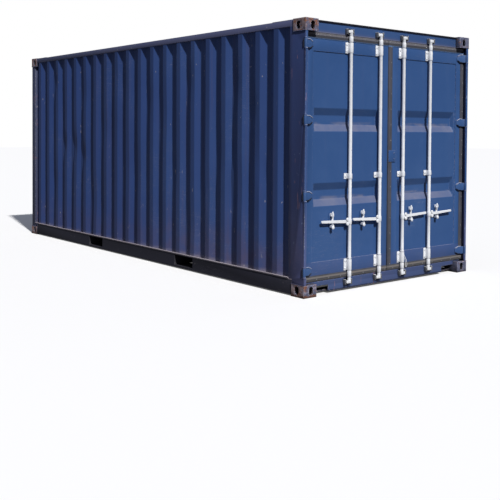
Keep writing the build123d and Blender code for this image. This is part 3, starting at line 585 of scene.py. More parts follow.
def seal_rubber(name):
    """Weathered door seal: grey-brown, dusty, with fine cracks, and bands of painted highlight and
    painted shade across the head and foot of the seal.
    """
    paint = bpy.context.scene.container_paint
    finish = Finish(name)
    broad = finish.noise(6.0, 5.0, 0.6)
    crack = finish.cracks(90.0)
    dusty = broad.between(0.35, 0.7)
    pale = tuple(0.5 * (r + d) for r, d in zip(paint.rubber, paint.dust))
    surface = finish.mix(dusty * 0.35, paint.rubber, pale)
    height = finish.axis("Z")
    head, foot = height.between(2.405, 2.412), height.between(0.196, 0.188)
    # Painted shade on the lower part of the head seal and painted highlight on its upper part, for
    # its rounded bulge
    surface = finish.mix(head * height.between(2.446, 2.436), surface, (0.045, 0.046, 0.058))
    surface = finish.mix(height.between(2.440, 2.460), surface, (0.170, 0.165, 0.185))
    # Painted light: the lowest strip of the head seal in a light blue, lifting the shade in the
    # step below it
    surface = finish.mix(head * height.between(2.424, 2.418), surface, (0.085, 0.165, 0.340))
    # Painted highlight on the upper part of the foot seal, and painted shade below it
    light = foot * height.between(0.156, 0.164) * height.between(0.183, 0.170)
    surface = finish.mix(light, surface, (0.185, 0.170, 0.162))
    surface = finish.mix(height.between(0.158, 0.150), surface, (0.075, 0.073, 0.078))
    surface = finish.mix(crack * 0.5, surface, (0.03, 0.028, 0.027))
    normal = finish.bump(finish.noise(140.0, 3.0, 0.6) - crack * 0.6, 0.3, 0.001)
    return finish.done(surface, 0.72 + dusty * 0.18, normal)


def plywood(name):
    """Oiled plywood planks: long grain, wheel marks and scuffs."""
    finish = Finish(name)
    grain = finish.noise(1.0, 6.0, 0.6, stretch=(3.0, 60.0, 20.0), distortion=0.4)
    tone = finish.noise(1.0, 3.0, 0.5, stretch=(0.6, 3.4, 1.0))
    scuff = finish.noise(1.0, 6.0, 0.65, stretch=(0.8, 5.0, 1.0), distortion=0.8)
    surface = finish.mix(grain.between(0.3, 0.7), (0.20, 0.115, 0.058), (0.34, 0.21, 0.115))
    surface = finish.mix(tone.between(0.35, 0.7) * 0.6, surface, (0.15, 0.098, 0.06))
    surface = finish.mix(scuff.between(0.56, 0.7) * 0.65, surface, (0.10, 0.088, 0.078))
    normal = finish.bump(grain, 0.35, 0.002)
    return finish.done(surface, 0.62 + scuff * 0.2, normal)


def bare_metal(name, tone, roughness):
    """Small zinc-plated or steel parts: bolts, rivets and screws."""
    paint = bpy.context.scene.container_paint
    finish = Finish(name)
    spots = finish.noise(60.0, 5.0, 0.65)
    surface = finish.mix(spots.between(0.5, 0.7) * 0.7, tone, paint.rust)
    normal = finish.bump(spots, 0.3, 0.001)
    return finish.done(surface, roughness + spots * 0.2, normal, 0.55)


FINISHES = {}


def finish_of(slot):
    """The finish of a material slot, made the first time that it is asked for."""
    paint = bpy.context.scene.container_paint
    makers = {
        "blue_paint": lambda: worn_paint(
            "worn_blue_paint", paint.blue, paint.faded_blue, rust=0.35, streaks=0.6,
            top_dust_and_sheen=0.6),
        # The walls darken towards their far end as painted shade
        "wall_paint": lambda: worn_paint(
            "wall_blue_paint", paint.dull_blue, paint.faded_blue, rust=0.4, dirt=0.6,
            streaks=0.8, low_dirt=0.9, edge_rub_and_light=0.5, fading=0.2, specks=0.8,
            shaded=paint.far_shade_blue,
            height_bands=[(0.16, 0.62, 0.22, (0.15, 0.105, 0.125)),
                    (0.165, 0.215, 0.5, paint.ledge_dust)]),
        # On the posts the rubbed edges also stand for a painted highlight along them, and
        # near-black painted shade fills notches and corners
        "post_paint": lambda: worn_paint(
            "post_blue_paint", paint.post_blue, paint.blue, rust=0.18, dirt=0.45, streaks=0.8,
            low_dirt=0.4, edge_rub_and_light=0.8, fading=0.35, specks=1.0, top_dust_and_sheen=0.5, marks=0.5,
            worn=(0.21, 0.28, 0.45), front=paint.blue, nook_shade=0.9, chipped=(0.45, 0.78),
            height_bands=[(0.30, 1.1, 0.45, (0.175, 0.150, 0.260))]),
        "front_post_paint": lambda: worn_paint(
            "front_post_paint", (0.050, 0.062, 0.125), (0.10, 0.11, 0.17), rust=0.7,
            dirt=0.4, streaks=0.8, edge_rub_and_light=1.0, fading=0.6, specks=1.0, marks=1.0),
        "rail_paint": lambda: worn_paint(
            "rail_blue_paint", paint.rail_blue, (0.155, 0.165, 0.285), rust=0.3,
            dirt=0.3, streaks=0.5, specks=1.0, top_dust_and_sheen=0.7, edge_rub_and_light=0.7),
        # A near-black band along the top edge of the header
        "header_paint": lambda: worn_paint(
            "header_blue_paint", paint.header_blue, paint.faded_blue, rust=0.1, dirt=0.15,
            streaks=0.3, edge_rub_and_light=0.2,
            height_bands=[(2.474, 2.515, 0.35, (0.17, 0.155, 0.24)),
                    (2.474, 2.488, 0.7, (0.24, 0.23, 0.27)),
                    (2.574, 2.570, 0.95, (0.008, 0.010, 0.020))]),
        "hinge_paint": lambda: worn_paint(
            "hinge_blue_paint", paint.blue, paint.faded_blue, rust=0.15, dirt=0.2,
            streaks=0.3, fading=1.0, top_dust_and_sheen=0.7, worn=(0.30, 0.33, 0.44)),
        # Near-black paint: painted shadow under the hinge blades and in the hinge notches, and a
        # dark line along the top of the header
        "near_black_beads": lambda: worn_paint(
            "dark_sealant", (0.010, 0.011, 0.020), (0.016, 0.018, 0.032), rust=0.0, dirt=0.0,
            edge_rub_and_light=0.0, gloss=0.7),
        "ledge_dirt": lambda: worn_paint(
            "ledge_dirt", paint.ledge_dust, (0.46, 0.43, 0.46), rust=0.5, dirt=0.4,
            edge_rub_and_light=0.0, gloss=0.8),
        # Painted shade: the fork pockets are near-black
        "pocket_paint": lambda: worn_paint(
            "pocket_paint", (0.008, 0.008, 0.013), (0.012, 0.012, 0.018), rust=0.25, dirt=0.1,
            edge_rub_and_light=0.1, gloss=0.7),
        # Near-black painted shade in notches and corners, and a near-black band along the bottom
        # edge of the sill
        "sill_paint": lambda: worn_paint(
            "sill_blue_paint", paint.sill_blue, paint.faded_blue, rust=0.4, dirt=0.3,
            streaks=0.4, low_dirt=0.3, edge_rub_and_light=0.8, fading=0.3, specks=1.0, marks=0.9,
            top_dust_and_sheen=0.55, nook_shade=0.8,
            height_bands=[(SILL_BOTTOM + 0.009, SILL_BOTTOM + 0.014, 0.9,
                     (0.008, 0.009, 0.016))]),
        # Painted highlight on the upper rims of the hinge blades and on the lit edges of the hinge
        # lugs
        "hinge_rim_paint": lambda: worn_paint(
            "hinge_rim_paint", (0.32, 0.35, 0.47), (0.24, 0.28, 0.42), rust=0.2,
            edge_rub_and_light=0.0, dirt=0.1, fading=1.0),
        # A faint light band at the foot of the door panels
        "door_paint": lambda: worn_paint(
            "door_blue_paint", paint.blue, paint.faded_blue, rust=0.12, dirt=0.2,
            streaks=0.35, low_dirt=0.2, top_dust_and_sheen=0.62, deposit=0.55,
            height_bands=[(0.306, 0.318, 0.13, (0.16, 0.10, 0.16))]),
        "underframe_paint": lambda: worn_paint(
            "underframe_paint", paint.dark_blue, paint.dark_blue, rust=0.35, dirt=0.1,
            low_dirt=0.1, gloss=0.6, specks=0.5, edge_rub_and_light=0.15,
            height_bands=[(RAIL_LEVEL - 0.003, RAIL_LEVEL - 0.008, 0.85, paint.ledge_dust)]),
        "fitting_paint": lambda: casting("casting_rusty_paint"),
        "pale_paint": lambda: pale_paint("pale_rod_paint"),
        "catch_paint": lambda: pale_paint("pale_catch_paint", PANEL_FACE + 0.008),
        # Keepers: near-black on all but edges and upper faces, for dark oily grime and painted
        # shade
        "keeper_paint": lambda: pale_paint("pale_keeper_paint", smeared_and_shaded=0.85),
        "door_rubber": lambda: seal_rubber("seal_rubber"),
        "floor_plywood": lambda: plywood("floor_plywood"),
        "bolt_metal": lambda: bare_metal("bolt_metal", (0.30, 0.31, 0.33), 0.4),
    }
    if slot not in FINISHES:
        FINISHES[slot] = makers[slot]()
    return FINISHES[slot]


# Mesh helpers

def linked(name, data):
    """A new object in the scene, at the origin."""
    piece = bpy.data.objects.new(name, data)
    bpy.context.scene.collection.objects.link(piece)
    return piece


def coat(mesh, material):
    mesh.materials.clear()
    mesh.materials.append(material)


def mesh_of(name, work):
    """Turns a finished bmesh into a mesh."""
    mesh = bpy.data.meshes.new(name)
    work.to_mesh(mesh)
    work.free()
    return mesh


def tie(piece, body, node=None):
    """Ties a piece to its body, and hides the node that it stands in for, if one is given."""
    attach(piece, body)
    if node is not None:
        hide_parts(node)
    return piece


def settled(piece):
    """Applies a piece's modifiers and leaves a plain mesh."""
    graph = bpy.context.evaluated_depsgraph_get()
    mesh = bpy.data.meshes.new_from_object(piece.evaluated_get(graph))
    piece.modifiers.clear()
    piece.data = mesh
    mesh.name = piece.name
    return piece


def shade(mesh, sharpest=radians(40)):
    """Smooth faces, with the edges over an angle kept sharp."""
    work = bmesh.new()
    work.from_mesh(mesh)
    for face in work.faces:
        face.smooth = True
    for edge in work.edges:
        edge.smooth = len(edge.link_faces) == 2 and edge.calc_face_angle(0.0) < sharpest
    work.to_mesh(mesh)
    work.free()


def thickened(piece, thickness):
    """Gives a sheet its thickness, inwards, and leaves a plain mesh."""
    wall = piece.modifiers.new("thickness", "SOLIDIFY")
    wall.thickness = thickness
    wall.offset = -1.0
    settled(piece)
    shade(piece.data, radians(50))
    return piece


def body_of_node(node):
    """The name of the body that holds a node."""
    bodies = frame["record"]["behaviour"]["bodies"]
    return next(body for body, nodes in bodies.items() if node in nodes)


def slot_of_node(node):
    """The name of a node's material slot."""
    return next(s["material_slot"] for s in frame["record"]["subparts"] if s["node"] == node)


def softened(node, width, finish=None, segments=2):
    """A copy of a node with its flat faces merged and its edges rounded, in its place."""
    work = bmesh.new()
    work.from_mesh(frame["nodes"][node].data)
    bmesh.ops.remove_doubles(work, verts=work.verts, dist=0.00002)
    bmesh.ops.dissolve_limit(
        work, angle_limit=radians(0.6), verts=work.verts, edges=work.edges)
    piece = linked(f"{node}_worn", mesh_of(f"{node}_worn", work))
    bevel = piece.modifiers.new("rounded edges", "BEVEL")
    bevel.width = width
    bevel.segments = segments
    bevel.limit_method = "ANGLE"
    bevel.angle_limit = radians(32)
    bevel.use_clamp_overlap = True
    settled(piece)
    shade(piece.data)
    slot = slot_of_node(node)
    coat(piece.data, finish_of(finish or slot))
    return tie(piece, body_of_node(node), node)


def soft_least(a, b, softness):
    """The smaller of two numbers, with the corner between them rounded."""
    overlap = max(softness - abs(a - b), 0.0) / softness
    return min(a, b) - overlap * overlap * softness / 4


def soft_most(a, b, softness):
    return -soft_least(-a, -b, softness)


def spread(points):
    """Sorted places with near doubles left out."""
    kept = []
    for point in sorted(points):
        if not kept or point - kept[-1] > 0.0005:
            kept.append(point)
    return kept


def with_cuts(places, cuts, clearance):
    """Places with one at each cut of the sheet, and none close beside a cut."""
    clear = [p for p in places if min(abs(p - c) for c in cuts) > clearance]
    return spread(clear + list(cuts))


def cut_rows(low, high, cuts):
    """Even rows across a sheet, with a row at each cut."""
    rows = bpy.context.scene.container_sheets.rows
    levels = [low + (high - low) * k / (rows - 1) for k in range(rows)]
    return with_cuts(levels, cuts, ROW_CLEARANCE)


def lathe(work, centre, axis, profile, sides):
    """Adds a turned solid: the profile gives (radius, distance along the axis)."""
    turn = axis.to_track_quat("Z", "Y").to_matrix().to_4x4()
    placed = Matrix.Translation(centre) @ turn
    rings = []
    for radius, along in profile:
        if radius == 0.0:
            rings.append([work.verts.new(placed @ Vector((0, 0, along)))])
        else:
            rings.append([
                work.verts.new(placed @ Vector((radius * cos(2 * pi * k / sides),
                                                radius * sin(2 * pi * k / sides), along)))
                for k in range(sides)])
    for below, above in zip(rings, rings[1:]):
        for k in range(sides):
            after = (k + 1) % sides
            corners = [below[k % len(below)], below[after % len(below)],
                       above[after % len(above)], above[k % len(above)]]
            work.faces.new(list(dict.fromkeys(corners)))


def turned_piece(name, solids, body):
    """Some turned solids in pale paint as one piece."""
    work = bmesh.new()
    for solid in solids:
        lathe(work, *solid)
    mesh = mesh_of(name, work)
    shade(mesh)
    coat(mesh, finish_of("pale_paint"))
    return tie(linked(name, mesh), body)


# Geometry node trees

class Tree(Nodes):
    """A geometry node tree that changes a mesh and gives it a material."""

    def __init__(self, name, **kinds):
        super().__init__(bpy.data.node_groups.new(name, "GeometryNodeTree"))
        sockets = self.tree.interface
        for way in ("INPUT", "OUTPUT"):
            sockets.new_socket(name="Geometry", in_out=way, socket_type="NodeSocketGeometry")
        for kind, labels in {**kinds, "Material": ("Material",)}.items():
            for label in labels:
                sockets.new_socket(
                    name=label, in_out="INPUT", socket_type=f"NodeSocket{kind}")
        self.given = self.tree.nodes.new("NodeGroupInput").outputs

    def value(self, name):
        return Value(self.tree, self.given[name])

    def out(self, kind, settings=None, inputs=None, output=0):
        """Adds a node and gives one of its outputs."""
        return self.node(kind, settings, inputs).outputs[output]

    def attribute(self, name, kind="FLOAT"):
        return self.out("GeometryNodeInputNamedAttribute", {"data_type": kind},
                        {"Name": name}, "Attribute")

    def lumps(self, scale, detail):
        """Noise about zero at each place of the mesh."""
        place = self.out("GeometryNodeInputPosition")
        cloud = self.out("ShaderNodeTexNoise", None,
                         {"Vector": place, "Scale": scale, "Detail": detail})
        return Value(self.tree, cloud) - 0.5

    def end(self, geometry):
        """Sets the material and closes the tree."""
        whole = self.out("GeometryNodeRealizeInstances", None, {"Geometry": geometry})
        coated = self.out("GeometryNodeSetMaterial", None,
                          {"Geometry": whole, "Material": self.given["Material"]})
        self.tree.links.new(coated, self.tree.nodes.new("NodeGroupOutput").inputs[0])
        return self.tree


def corrugation_tree():
    """Presses ridges into a flat sheet: own level, slope, other level, slope, and so on."""
    tree = Tree("pressed corrugation", Vector=("Along", "Inward"), Float=(
        "Start", "Pitch", "Other flat", "Slope", "Ridges", "Own depth", "Other depth",
        "Softness", "Buckle"))
    pitch, slope, softness = map(tree.value, ("Pitch", "Slope", "Softness"))
    own, other = tree.value("Own depth"), tree.value("Other depth")
    along = tree.out("ShaderNodeVectorMath", {"operation": "DOT_PRODUCT"},
                     {0: tree.out("GeometryNodeInputPosition"), 1: tree.given["Along"]},
                     "Value")
    reach = Value(tree.tree, along) - tree.value("Start")
    count = (reach / pitch).floored().most(0.0).least(tree.value("Ridges") - 1.0)
    within = reach - count * pitch
    half = tree.value("Other flat") * 0.5
    rise = (abs(within - (slope + half)) - half) / slope
    rise = rise.least(1.0, softness).most(0.0, softness)
    wave = tree.lumps(1.6, 2.0) * tree.value("Buckle")
    hold, push = (Value(tree.tree, tree.attribute(name)) for name in ("hold", "push"))
    depth = other + rise * (own - other) + (wave + push) * hold
    offset = tree.out("ShaderNodeVectorMath", {"operation": "SCALE"},
                      {0: tree.given["Inward"], "Scale": depth})
    return tree.end(tree.out("GeometryNodeSetPosition", None, {
        "Geometry": tree.given["Geometry"], "Offset": offset}))


def stud_tree():
    """Sets a domed or six-sided head on each point of a mesh, along the point's normal."""
    tree = Tree("heads on points", Float=("Radius", "Height", "Dome"), Int=("Sides",))
    head = tree.out("GeometryNodeMeshCone", {"fill_type": "NGON"}, {
        "Vertices": tree.given["Sides"], "Radius Bottom": tree.given["Radius"],
        "Radius Top": tree.value("Radius") * tree.value("Dome"),
        "Depth": tree.given["Height"]})
    outward = tree.attribute("outward", "FLOAT_VECTOR")
    turn = tree.out("FunctionNodeAlignRotationToVector", {"axis": "Z"}, {"Vector": outward})
    spin = tree.out("FunctionNodeRandomValue", {"data_type": "FLOAT"},
                    {2: 0.0, 3: pi, "Seed": 7}, 1)
    local = tree.out("ShaderNodeCombineXYZ", None, {"Z": spin})
    spun = tree.out("FunctionNodeEulerToRotation", None, {"Euler": local})
    turned = tree.out("FunctionNodeRotateRotation", {"rotation_space": "LOCAL"},
                      {"Rotation": turn, "Rotate By": spun})
    return tree.end(tree.out("GeometryNodeInstanceOnPoints", None, {
        "Points": tree.given["Geometry"], "Instance": head, "Rotation": turned}))


def bead_tree():
    """Lays a lumpy weld bead along the edges of a mesh of lines."""
    tree = Tree("weld bead", Float=("Radius", "Step", "Lumps"))
    curve = tree.out("GeometryNodeMeshToCurve", None, {"Mesh": tree.given["Geometry"]})
    even = tree.out("GeometryNodeResampleCurve", {"mode": "LENGTH"},
                    {"Curve": curve, "Length": tree.given["Step"]})
    swell = tree.value("Radius") * (tree.lumps(45.0, 1.0) * tree.value("Lumps") + 1.0)
    sized = tree.out("GeometryNodeSetCurveRadius", None, {"Curve": even, "Radius": swell})
    ring = tree.out("GeometryNodeCurvePrimitiveCircle", {"mode": "RADIUS"},
                    {"Resolution": 6, "Radius": 1.0})
    bead = tree.node("GeometryNodeCurveToMesh", None, {
        "Curve": sized, "Profile Curve": ring, "Fill Caps": True})
    if "Scale" in bead.inputs:
        tree.feed(bead.inputs["Scale"], swell)
    return tree.end(bead.outputs[0])


TREES = {}


def with_nodes(piece, maker, inputs):
    """Gives a piece a modifier that runs one of the node trees."""
    if maker not in TREES:
        TREES[maker] = maker()
    modifier = piece.modifiers.new("nodes", "NODES")
    modifier.node_group = TREES[maker]
    named = {item.name: item.identifier for item in TREES[maker].interface.items_tree}
    for name, value in inputs.items():
        modifier[named[name]] = value


def sheet_lattice(name, across, up, corner, across_axis, up_axis, inward, keep):
    """A flat sheet with chosen columns and rows, without the cells that keep rejects."""
    mesh = bpy.data.meshes.new(name)
    points = [corner + across_axis * a + up_axis * u for u in up for a in across]
    wide = len(across)
    faces = []
    for row in range(len(up) - 1):
        for column in range(wide - 1):
            middle_a = (across[column] + across[column + 1]) / 2
            middle_u = (up[row] + up[row + 1]) / 2
            if keep(middle_a, middle_u):
                first = row * wide + column
                faces.append((first, first + 1, first + wide + 1, first + wide))
    if across_axis.cross(up_axis).dot(inward) > 0:
        faces = [face[::-1] for face in faces]
    mesh.from_pydata(points, [], faces)
    return mesh


def bend_columns(start, pressing, ridges, low, high):
    """Columns at each bend of a corrugation and between the bends."""
    sheets = bpy.context.scene.container_sheets
    count = sheets.bend_columns
    slope, flat = pressing.slope, pressing.other_flat
    reach = slope * sheets.softness * 1.1
    places = [low, high]
    for ridge in range(ridges):
        base = start + ridge * pressing.pitch
        for bend in (base, base + slope, base + slope + flat, base + 2 * slope + flat):
            places += [bend + reach * (2 * k / (count - 1) - 1) for k in range(count)]
        places.append(base + slope + flat / 2)
        places.append(base + (pressing.pitch + 2 * slope + flat) / 2)
    return [p for p in spread(places) if low <= p <= high]


def corrugated(name, node, lattice, along, inward, start, pressing, ridges, dents):
    """Presses, buckles and thickens a flat lattice in place of a node."""
    sheets = bpy.context.scene.container_sheets
    low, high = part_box(node)
    hold = lattice.attributes.new("hold", "FLOAT", "POINT")
    push = lattice.attributes.new("push", "FLOAT", "POINT")
    for index, vertex in enumerate(lattice.vertices):
        margin = 1.0
        for axis in range(3):
            if abs(inward[axis]) < 0.5:
                gap = min(vertex.co[axis] - low[axis], high[axis] - vertex.co[axis])
                margin = min(margin, max(0.0, gap) / EDGE_HOLD)
        hold.data[index].value = margin
        push.data[index].value = sum(
            depth * exp(-(((vertex.co - Vector(centre)) * Vector(narrowness)).length ** 2))
            for centre, narrowness, depth in dents)
    piece = linked(name, lattice)
    with_nodes(piece, corrugation_tree, {
        "Along": along, "Inward": inward, "Softness": sheets.softness,
        "Buckle": sheets.buckle * 2, "Material": finish_of("wall_paint"), "Start": start,
        "Pitch": pressing.pitch, "Other flat": pressing.other_flat, "Slope": pressing.slope,
        "Ridges": float(ridges), "Own depth": pressing.own_depth,
        "Other depth": pressing.other_depth})
    thickened(piece, sheets.thickness)
    return tie(piece, body_of_node(node), node)


def studs(name, points, outward, body, slot, radius, height, dome=0.8, sides=6,
          finish=None):
    """A row of bolt or rivet heads as one piece."""
    mesh = bpy.data.meshes.new(name)
    mesh.from_pydata([Vector(p) for p in points], [], [])
    facing = mesh.attributes.new("outward", "FLOAT_VECTOR", "POINT")
    for entry in facing.data:
        entry.vector = outward
    piece = linked(name, mesh)
    with_nodes(piece, stud_tree, {
        "Radius": radius, "Height": height, "Dome": dome, "Sides": sides,
        "Material": finish_of(finish or slot)})
    settled(piece)
    return tie(piece, body)


def beads(name, lines, body, slot, radius=None, finish=None, step=0.02, lumps=0.9):
    """Weld beads along some polylines as one piece."""
    points, edges = [], []
    for line in lines:
        first = len(points)
        points += [Vector(p) for p in line]
        edges += [(first + k, first + k + 1) for k in range(len(line) - 1)]
    mesh = bpy.data.meshes.new(name)
    mesh.from_pydata(points, edges, [])
    piece = linked(name, mesh)
    with_nodes(piece, bead_tree, {
        "Radius": radius or bpy.context.scene.container_hardware.weld_radius,
        "Step": step, "Lumps": lumps, "Material": finish_of(finish or slot)})
    settled(piece)
    shade(piece.data, radians(70))
    return tie(piece, body)


# Pieces, one operator for each group

class CONTAINER_OT_stage(bpy.types.Operator):
    """Adds the floor, the lamps and the camera"""

    bl_idname = "container.stage"
    bl_label = "Stage"

    def execute(self, context):
        stage = context.scene.container_stage
        mesh = bpy.data.meshes.new("floor")
        reach = stage.floor_reach
        corners = [(-reach, -reach, 0), (reach, -reach, 0), (reach, reach, 0),
                   (-reach, reach, 0)]
        mesh.from_pydata(corners, [], [(0, 1, 2, 3)])
        finish = Finish("pale_floor")
        camera_ray = finish.node("ShaderNodeLightPath").outputs["Is Camera Ray"]
        tone = finish.mix(camera_ray, stage.floor_bounce, stage.floor_white)
        finish.feed(finish.shader.inputs["Emission Color"],
                    finish.mix(camera_ray, (0, 0, 0), stage.floor_glow))
        finish.shader.inputs["Emission Strength"].default_value = 1.0
        mesh.materials.append(finish.done(tone, 0.9, specular=0.1))
        floor = linked("floor", mesh)

        sun = bpy.data.lights.new("sun", "SUN")
        sun.energy = stage.sun_strength
        sun.angle = stage.sun_softness
        sun.color = stage.sun_colour
        lamp = linked("sun", sun)
        high = cos(stage.sun_elevation)
        source = Vector((high * cos(stage.sun_azimuth), -high * sin(stage.sun_azimuth),
                         sin(stage.sun_elevation)))
        lamp.rotation_euler = source.to_track_quat("Z", "Y").to_euler()

        world = bpy.data.worlds.new("soft light")
        context.scene.world = world
        world.use_nodes = True
        tree = world.node_tree
        tree.nodes.clear()
        ray = tree.nodes.new("ShaderNodeLightPath")
        seen = tree.nodes.new("ShaderNodeMath")
        seen.operation = "MAXIMUM"
        tree.links.new(ray.outputs["Is Camera Ray"], seen.inputs[0])
        tree.links.new(ray.outputs["Is Transmission Ray"], seen.inputs[1])
        soft = tree.nodes.new("ShaderNodeBackground")
        soft.inputs[0].default_value = (*stage.fill_tint, 1)
        soft.inputs[1].default_value = stage.fill_strength
        white = tree.nodes.new("ShaderNodeBackground")
        white.inputs[0].default_value = (1, 1, 1, 1)
        choice = tree.nodes.new("ShaderNodeMixShader")
        tree.links.new(seen.outputs[0], choice.inputs[0])
        tree.links.new(soft.outputs[0], choice.inputs[1])
        tree.links.new(white.outputs[0], choice.inputs[2])
        out = tree.nodes.new("ShaderNodeOutputWorld")
        tree.links.new(choice.outputs[0], out.inputs[0])

        lens = bpy.data.cameras.new("camera")
        lens.sensor_width = 36.0
        lens.lens = stage.focal_length
        lens.shift_x = stage.shift_right
        lens.shift_y = stage.shift_up
        lens.clip_end = 300.0
        camera = linked("camera", lens)
        flat = cos(stage.camera_elevation)
        back = Vector((sin(stage.camera_azimuth) * flat, -cos(stage.camera_azimuth) * flat,
                       sin(stage.camera_elevation)))
        turn = back.to_track_quat("Z", "Y").to_matrix().to_4x4()
        lean = Matrix.Rotation(stage.camera_roll, 4, "Z")
        camera.matrix_world = Matrix.Translation(stage.camera_place) @ turn @ lean
        context.scene.camera = camera
        context.scene.view_settings.view_transform = "Standard"
        return {"FINISHED"}


class CONTAINER_OT_side_walls(bpy.types.Operator):
    """Presses the two long walls, with their waves and dents"""

    bl_idname = "container.side_walls"
    bl_label = "Side walls"

    def execute(self, context):
        for name, side in SIDES.items():
            node = f"{name}_side_wall"
            low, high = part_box(node)
            rear, front = -high.x, -low.x
            first = rear + WALL_END_FLAT
            ridges = int((front - rear - WALL_END_FLAT + WALL_INNER_FLAT) // WALL.pitch)
            columns = with_cuts(bend_columns(first, WALL, ridges, rear, front), [FITTING_X],
                                COLUMN_CLEARANCE)
            levels = cut_rows(low.z, high.z, [RAIL_LEVEL, FITTING_LEVEL])
            outer = side * max(abs(low.y), abs(high.y))
            lattice = sheet_lattice(
                f"{name}_wall_sheet", columns, levels, Vector((0, outer, 0)),
                Vector((-1, 0, 0)), Vector((0, 0, 1)), Vector((0, -side, 0)),
                lambda a, z: ((a > FITTING_X or z > RAIL_LEVEL)
                              and (a < FITTING_X or z < FITTING_LEVEL)))
            dents = [((x * side * -1, outer, z), narrowness, depth)
                     for (x, y, z), narrowness, depth in WALL_DENTS]
            corrugated(f"{name}_wall_sheet", node, lattice, (-1, 0, 0), (0, -side, 0),
                       first, WALL, ridges, dents)
        return {"FINISHED"}


class CONTAINER_OT_front_wall(bpy.types.Operator):
    """Presses the closed end wall"""

    bl_idname = "container.front_wall"
    bl_label = "Front wall"

    def execute(self, context):
        low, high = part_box("front_wall")
        width = high.y - low.y
        ridges = int((width - FRONT_OUTER_FLAT / 2) // FRONT.pitch)
        margin = (width - ridges * FRONT.pitch + FRONT_OUTER_FLAT) / 2
        first = low.y + margin
        columns = with_cuts(bend_columns(first, FRONT, ridges, low.y, high.y),
                            [-FITTING_Y, FITTING_Y], COLUMN_CLEARANCE)
        levels = cut_rows(low.z, high.z, [RAIL_LEVEL, FITTING_LEVEL])
        lattice = sheet_lattice(
            "front_wall_sheet", columns, levels, Vector((low.x, 0, 0)),
            Vector((0, 1, 0)), Vector((0, 0, 1)), Vector((1, 0, 0)),
            lambda y, z: ((abs(y) > FITTING_Y or z > RAIL_LEVEL)
                          and (abs(y) < FITTING_Y or z < FITTING_LEVEL)))
        dents = [((low.x, 0.35, 0.8), (0, 4.0, 3.0), 0.012),
                 ((low.x, -0.6, 1.5), (0, 5.0, 2.5), 0.008)]
        corrugated("front_wall_sheet", "front_wall", lattice, (0, 1, 0), (1, 0, 0), first,
                   FRONT, ridges, dents)
        return {"FINISHED"}


class CONTAINER_OT_roof(bpy.types.Operator):
    """Presses the roof sheet, with shallow dents where it was walked on"""

    bl_idname = "container.roof"
    bl_label = "Roof"

    def execute(self, context):
        low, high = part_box("roof")
        reach = high.x - low.x
        ridges = int((reach - 2 * ROOF_END_FLAT) // ROOF.pitch)
        margin = (reach - ridges * ROOF.pitch + ROOF.other_flat) / 2
        first = low.x + margin
        columns = with_cuts(bend_columns(first, ROOF, ridges, low.x, high.x), [-FITTING_X],
                            COLUMN_CLEARANCE)
        levels = cut_rows(low.y, high.y, [-FITTING_Y, FITTING_Y])
        lattice = sheet_lattice(
            "roof_sheet", columns, levels, Vector((0, 0, high.z)),
            Vector((1, 0, 0)), Vector((0, 1, 0)), Vector((0, 0, -1)),
            lambda x, y: x > -FITTING_X or abs(y) < FITTING_Y)
        dents = [((0.9, 0.3, high.z), (2.6, 3.2, 0), 0.014),
                 ((-1.5, -0.4, high.z), (3.0, 2.6, 0), 0.010),
                 ((-0.2, 0.7, high.z), (3.5, 4.0, 0), 0.008)]
        corrugated("roof_sheet", "roof", lattice, (1, 0, 0), (0, 0, -1), first, ROOF, ridges,
                   dents)
        return {"FINISHED"}


class CONTAINER_OT_corner_fittings(bpy.types.Operator):
    """Rounds the eight corner castings and gives them their rusty skin"""

    bl_idname = "container.corner_fittings"
    bl_label = "Corner fittings"

    def execute(self, context):
        edge = context.scene.container_hardware.cast_edge
        for level in ("bottom", "top"):
            softened(f"{level}_corner_fittings", edge, segments=3)
        return {"FINISHED"}


class CONTAINER_OT_frame(bpy.types.Operator):
    """Rounds the posts, rails, header, sill and roof plates"""

    bl_idname = "container.frame"
    bl_label = "Frame"

    def execute(self, context):
        edge = context.scene.container_hardware.edge
        for name in SIDES:
            softened(f"{name}_rear_post", edge * 1.5, "post_paint")
            softened(f"{name}_front_post", edge * 1.5, "front_post_paint")
            softened(f"{name}_top_side_rail", edge * 1.5, "rail_paint")
            softened(f"{name}_bottom_side_rail", edge)
        for node in ("front_top_rail", "roof_corner_plates", "header_door_stop"):
            softened(node, edge, "blue_paint")
        softened("door_header", edge, "header_paint")
        softened("door_sill", edge, "sill_paint")
        softened("front_bottom_rail", edge)
        return {"FINISHED"}


class CONTAINER_OT_underframe(bpy.types.Operator):
    """Rounds the cross members and fork pockets"""

    bl_idname = "container.underframe"
    bl_label = "Underframe"

    def execute(self, context):
        edge = context.scene.container_hardware.edge
        softened("floor_cross_members", edge)
        # Fork pockets in near-black, as painted shade
        softened("fork_pockets", edge, "pocket_paint")
        return {"FINISHED"}


def member_places():
    """Where the cross members lie along X."""
    last = MEMBERS_IN_GROUP - 1
    shares = [k / last for k in range(MEMBERS_IN_GROUP)]
    middle = [MIDDLE_MEMBER_REACH * (2 * share - 1) for share in shares]
    outer = [OUTER_MEMBER_START + OUTER_MEMBER_SPAN * share for share in shares]
    return sorted(middle + outer + [-x for x in outer])


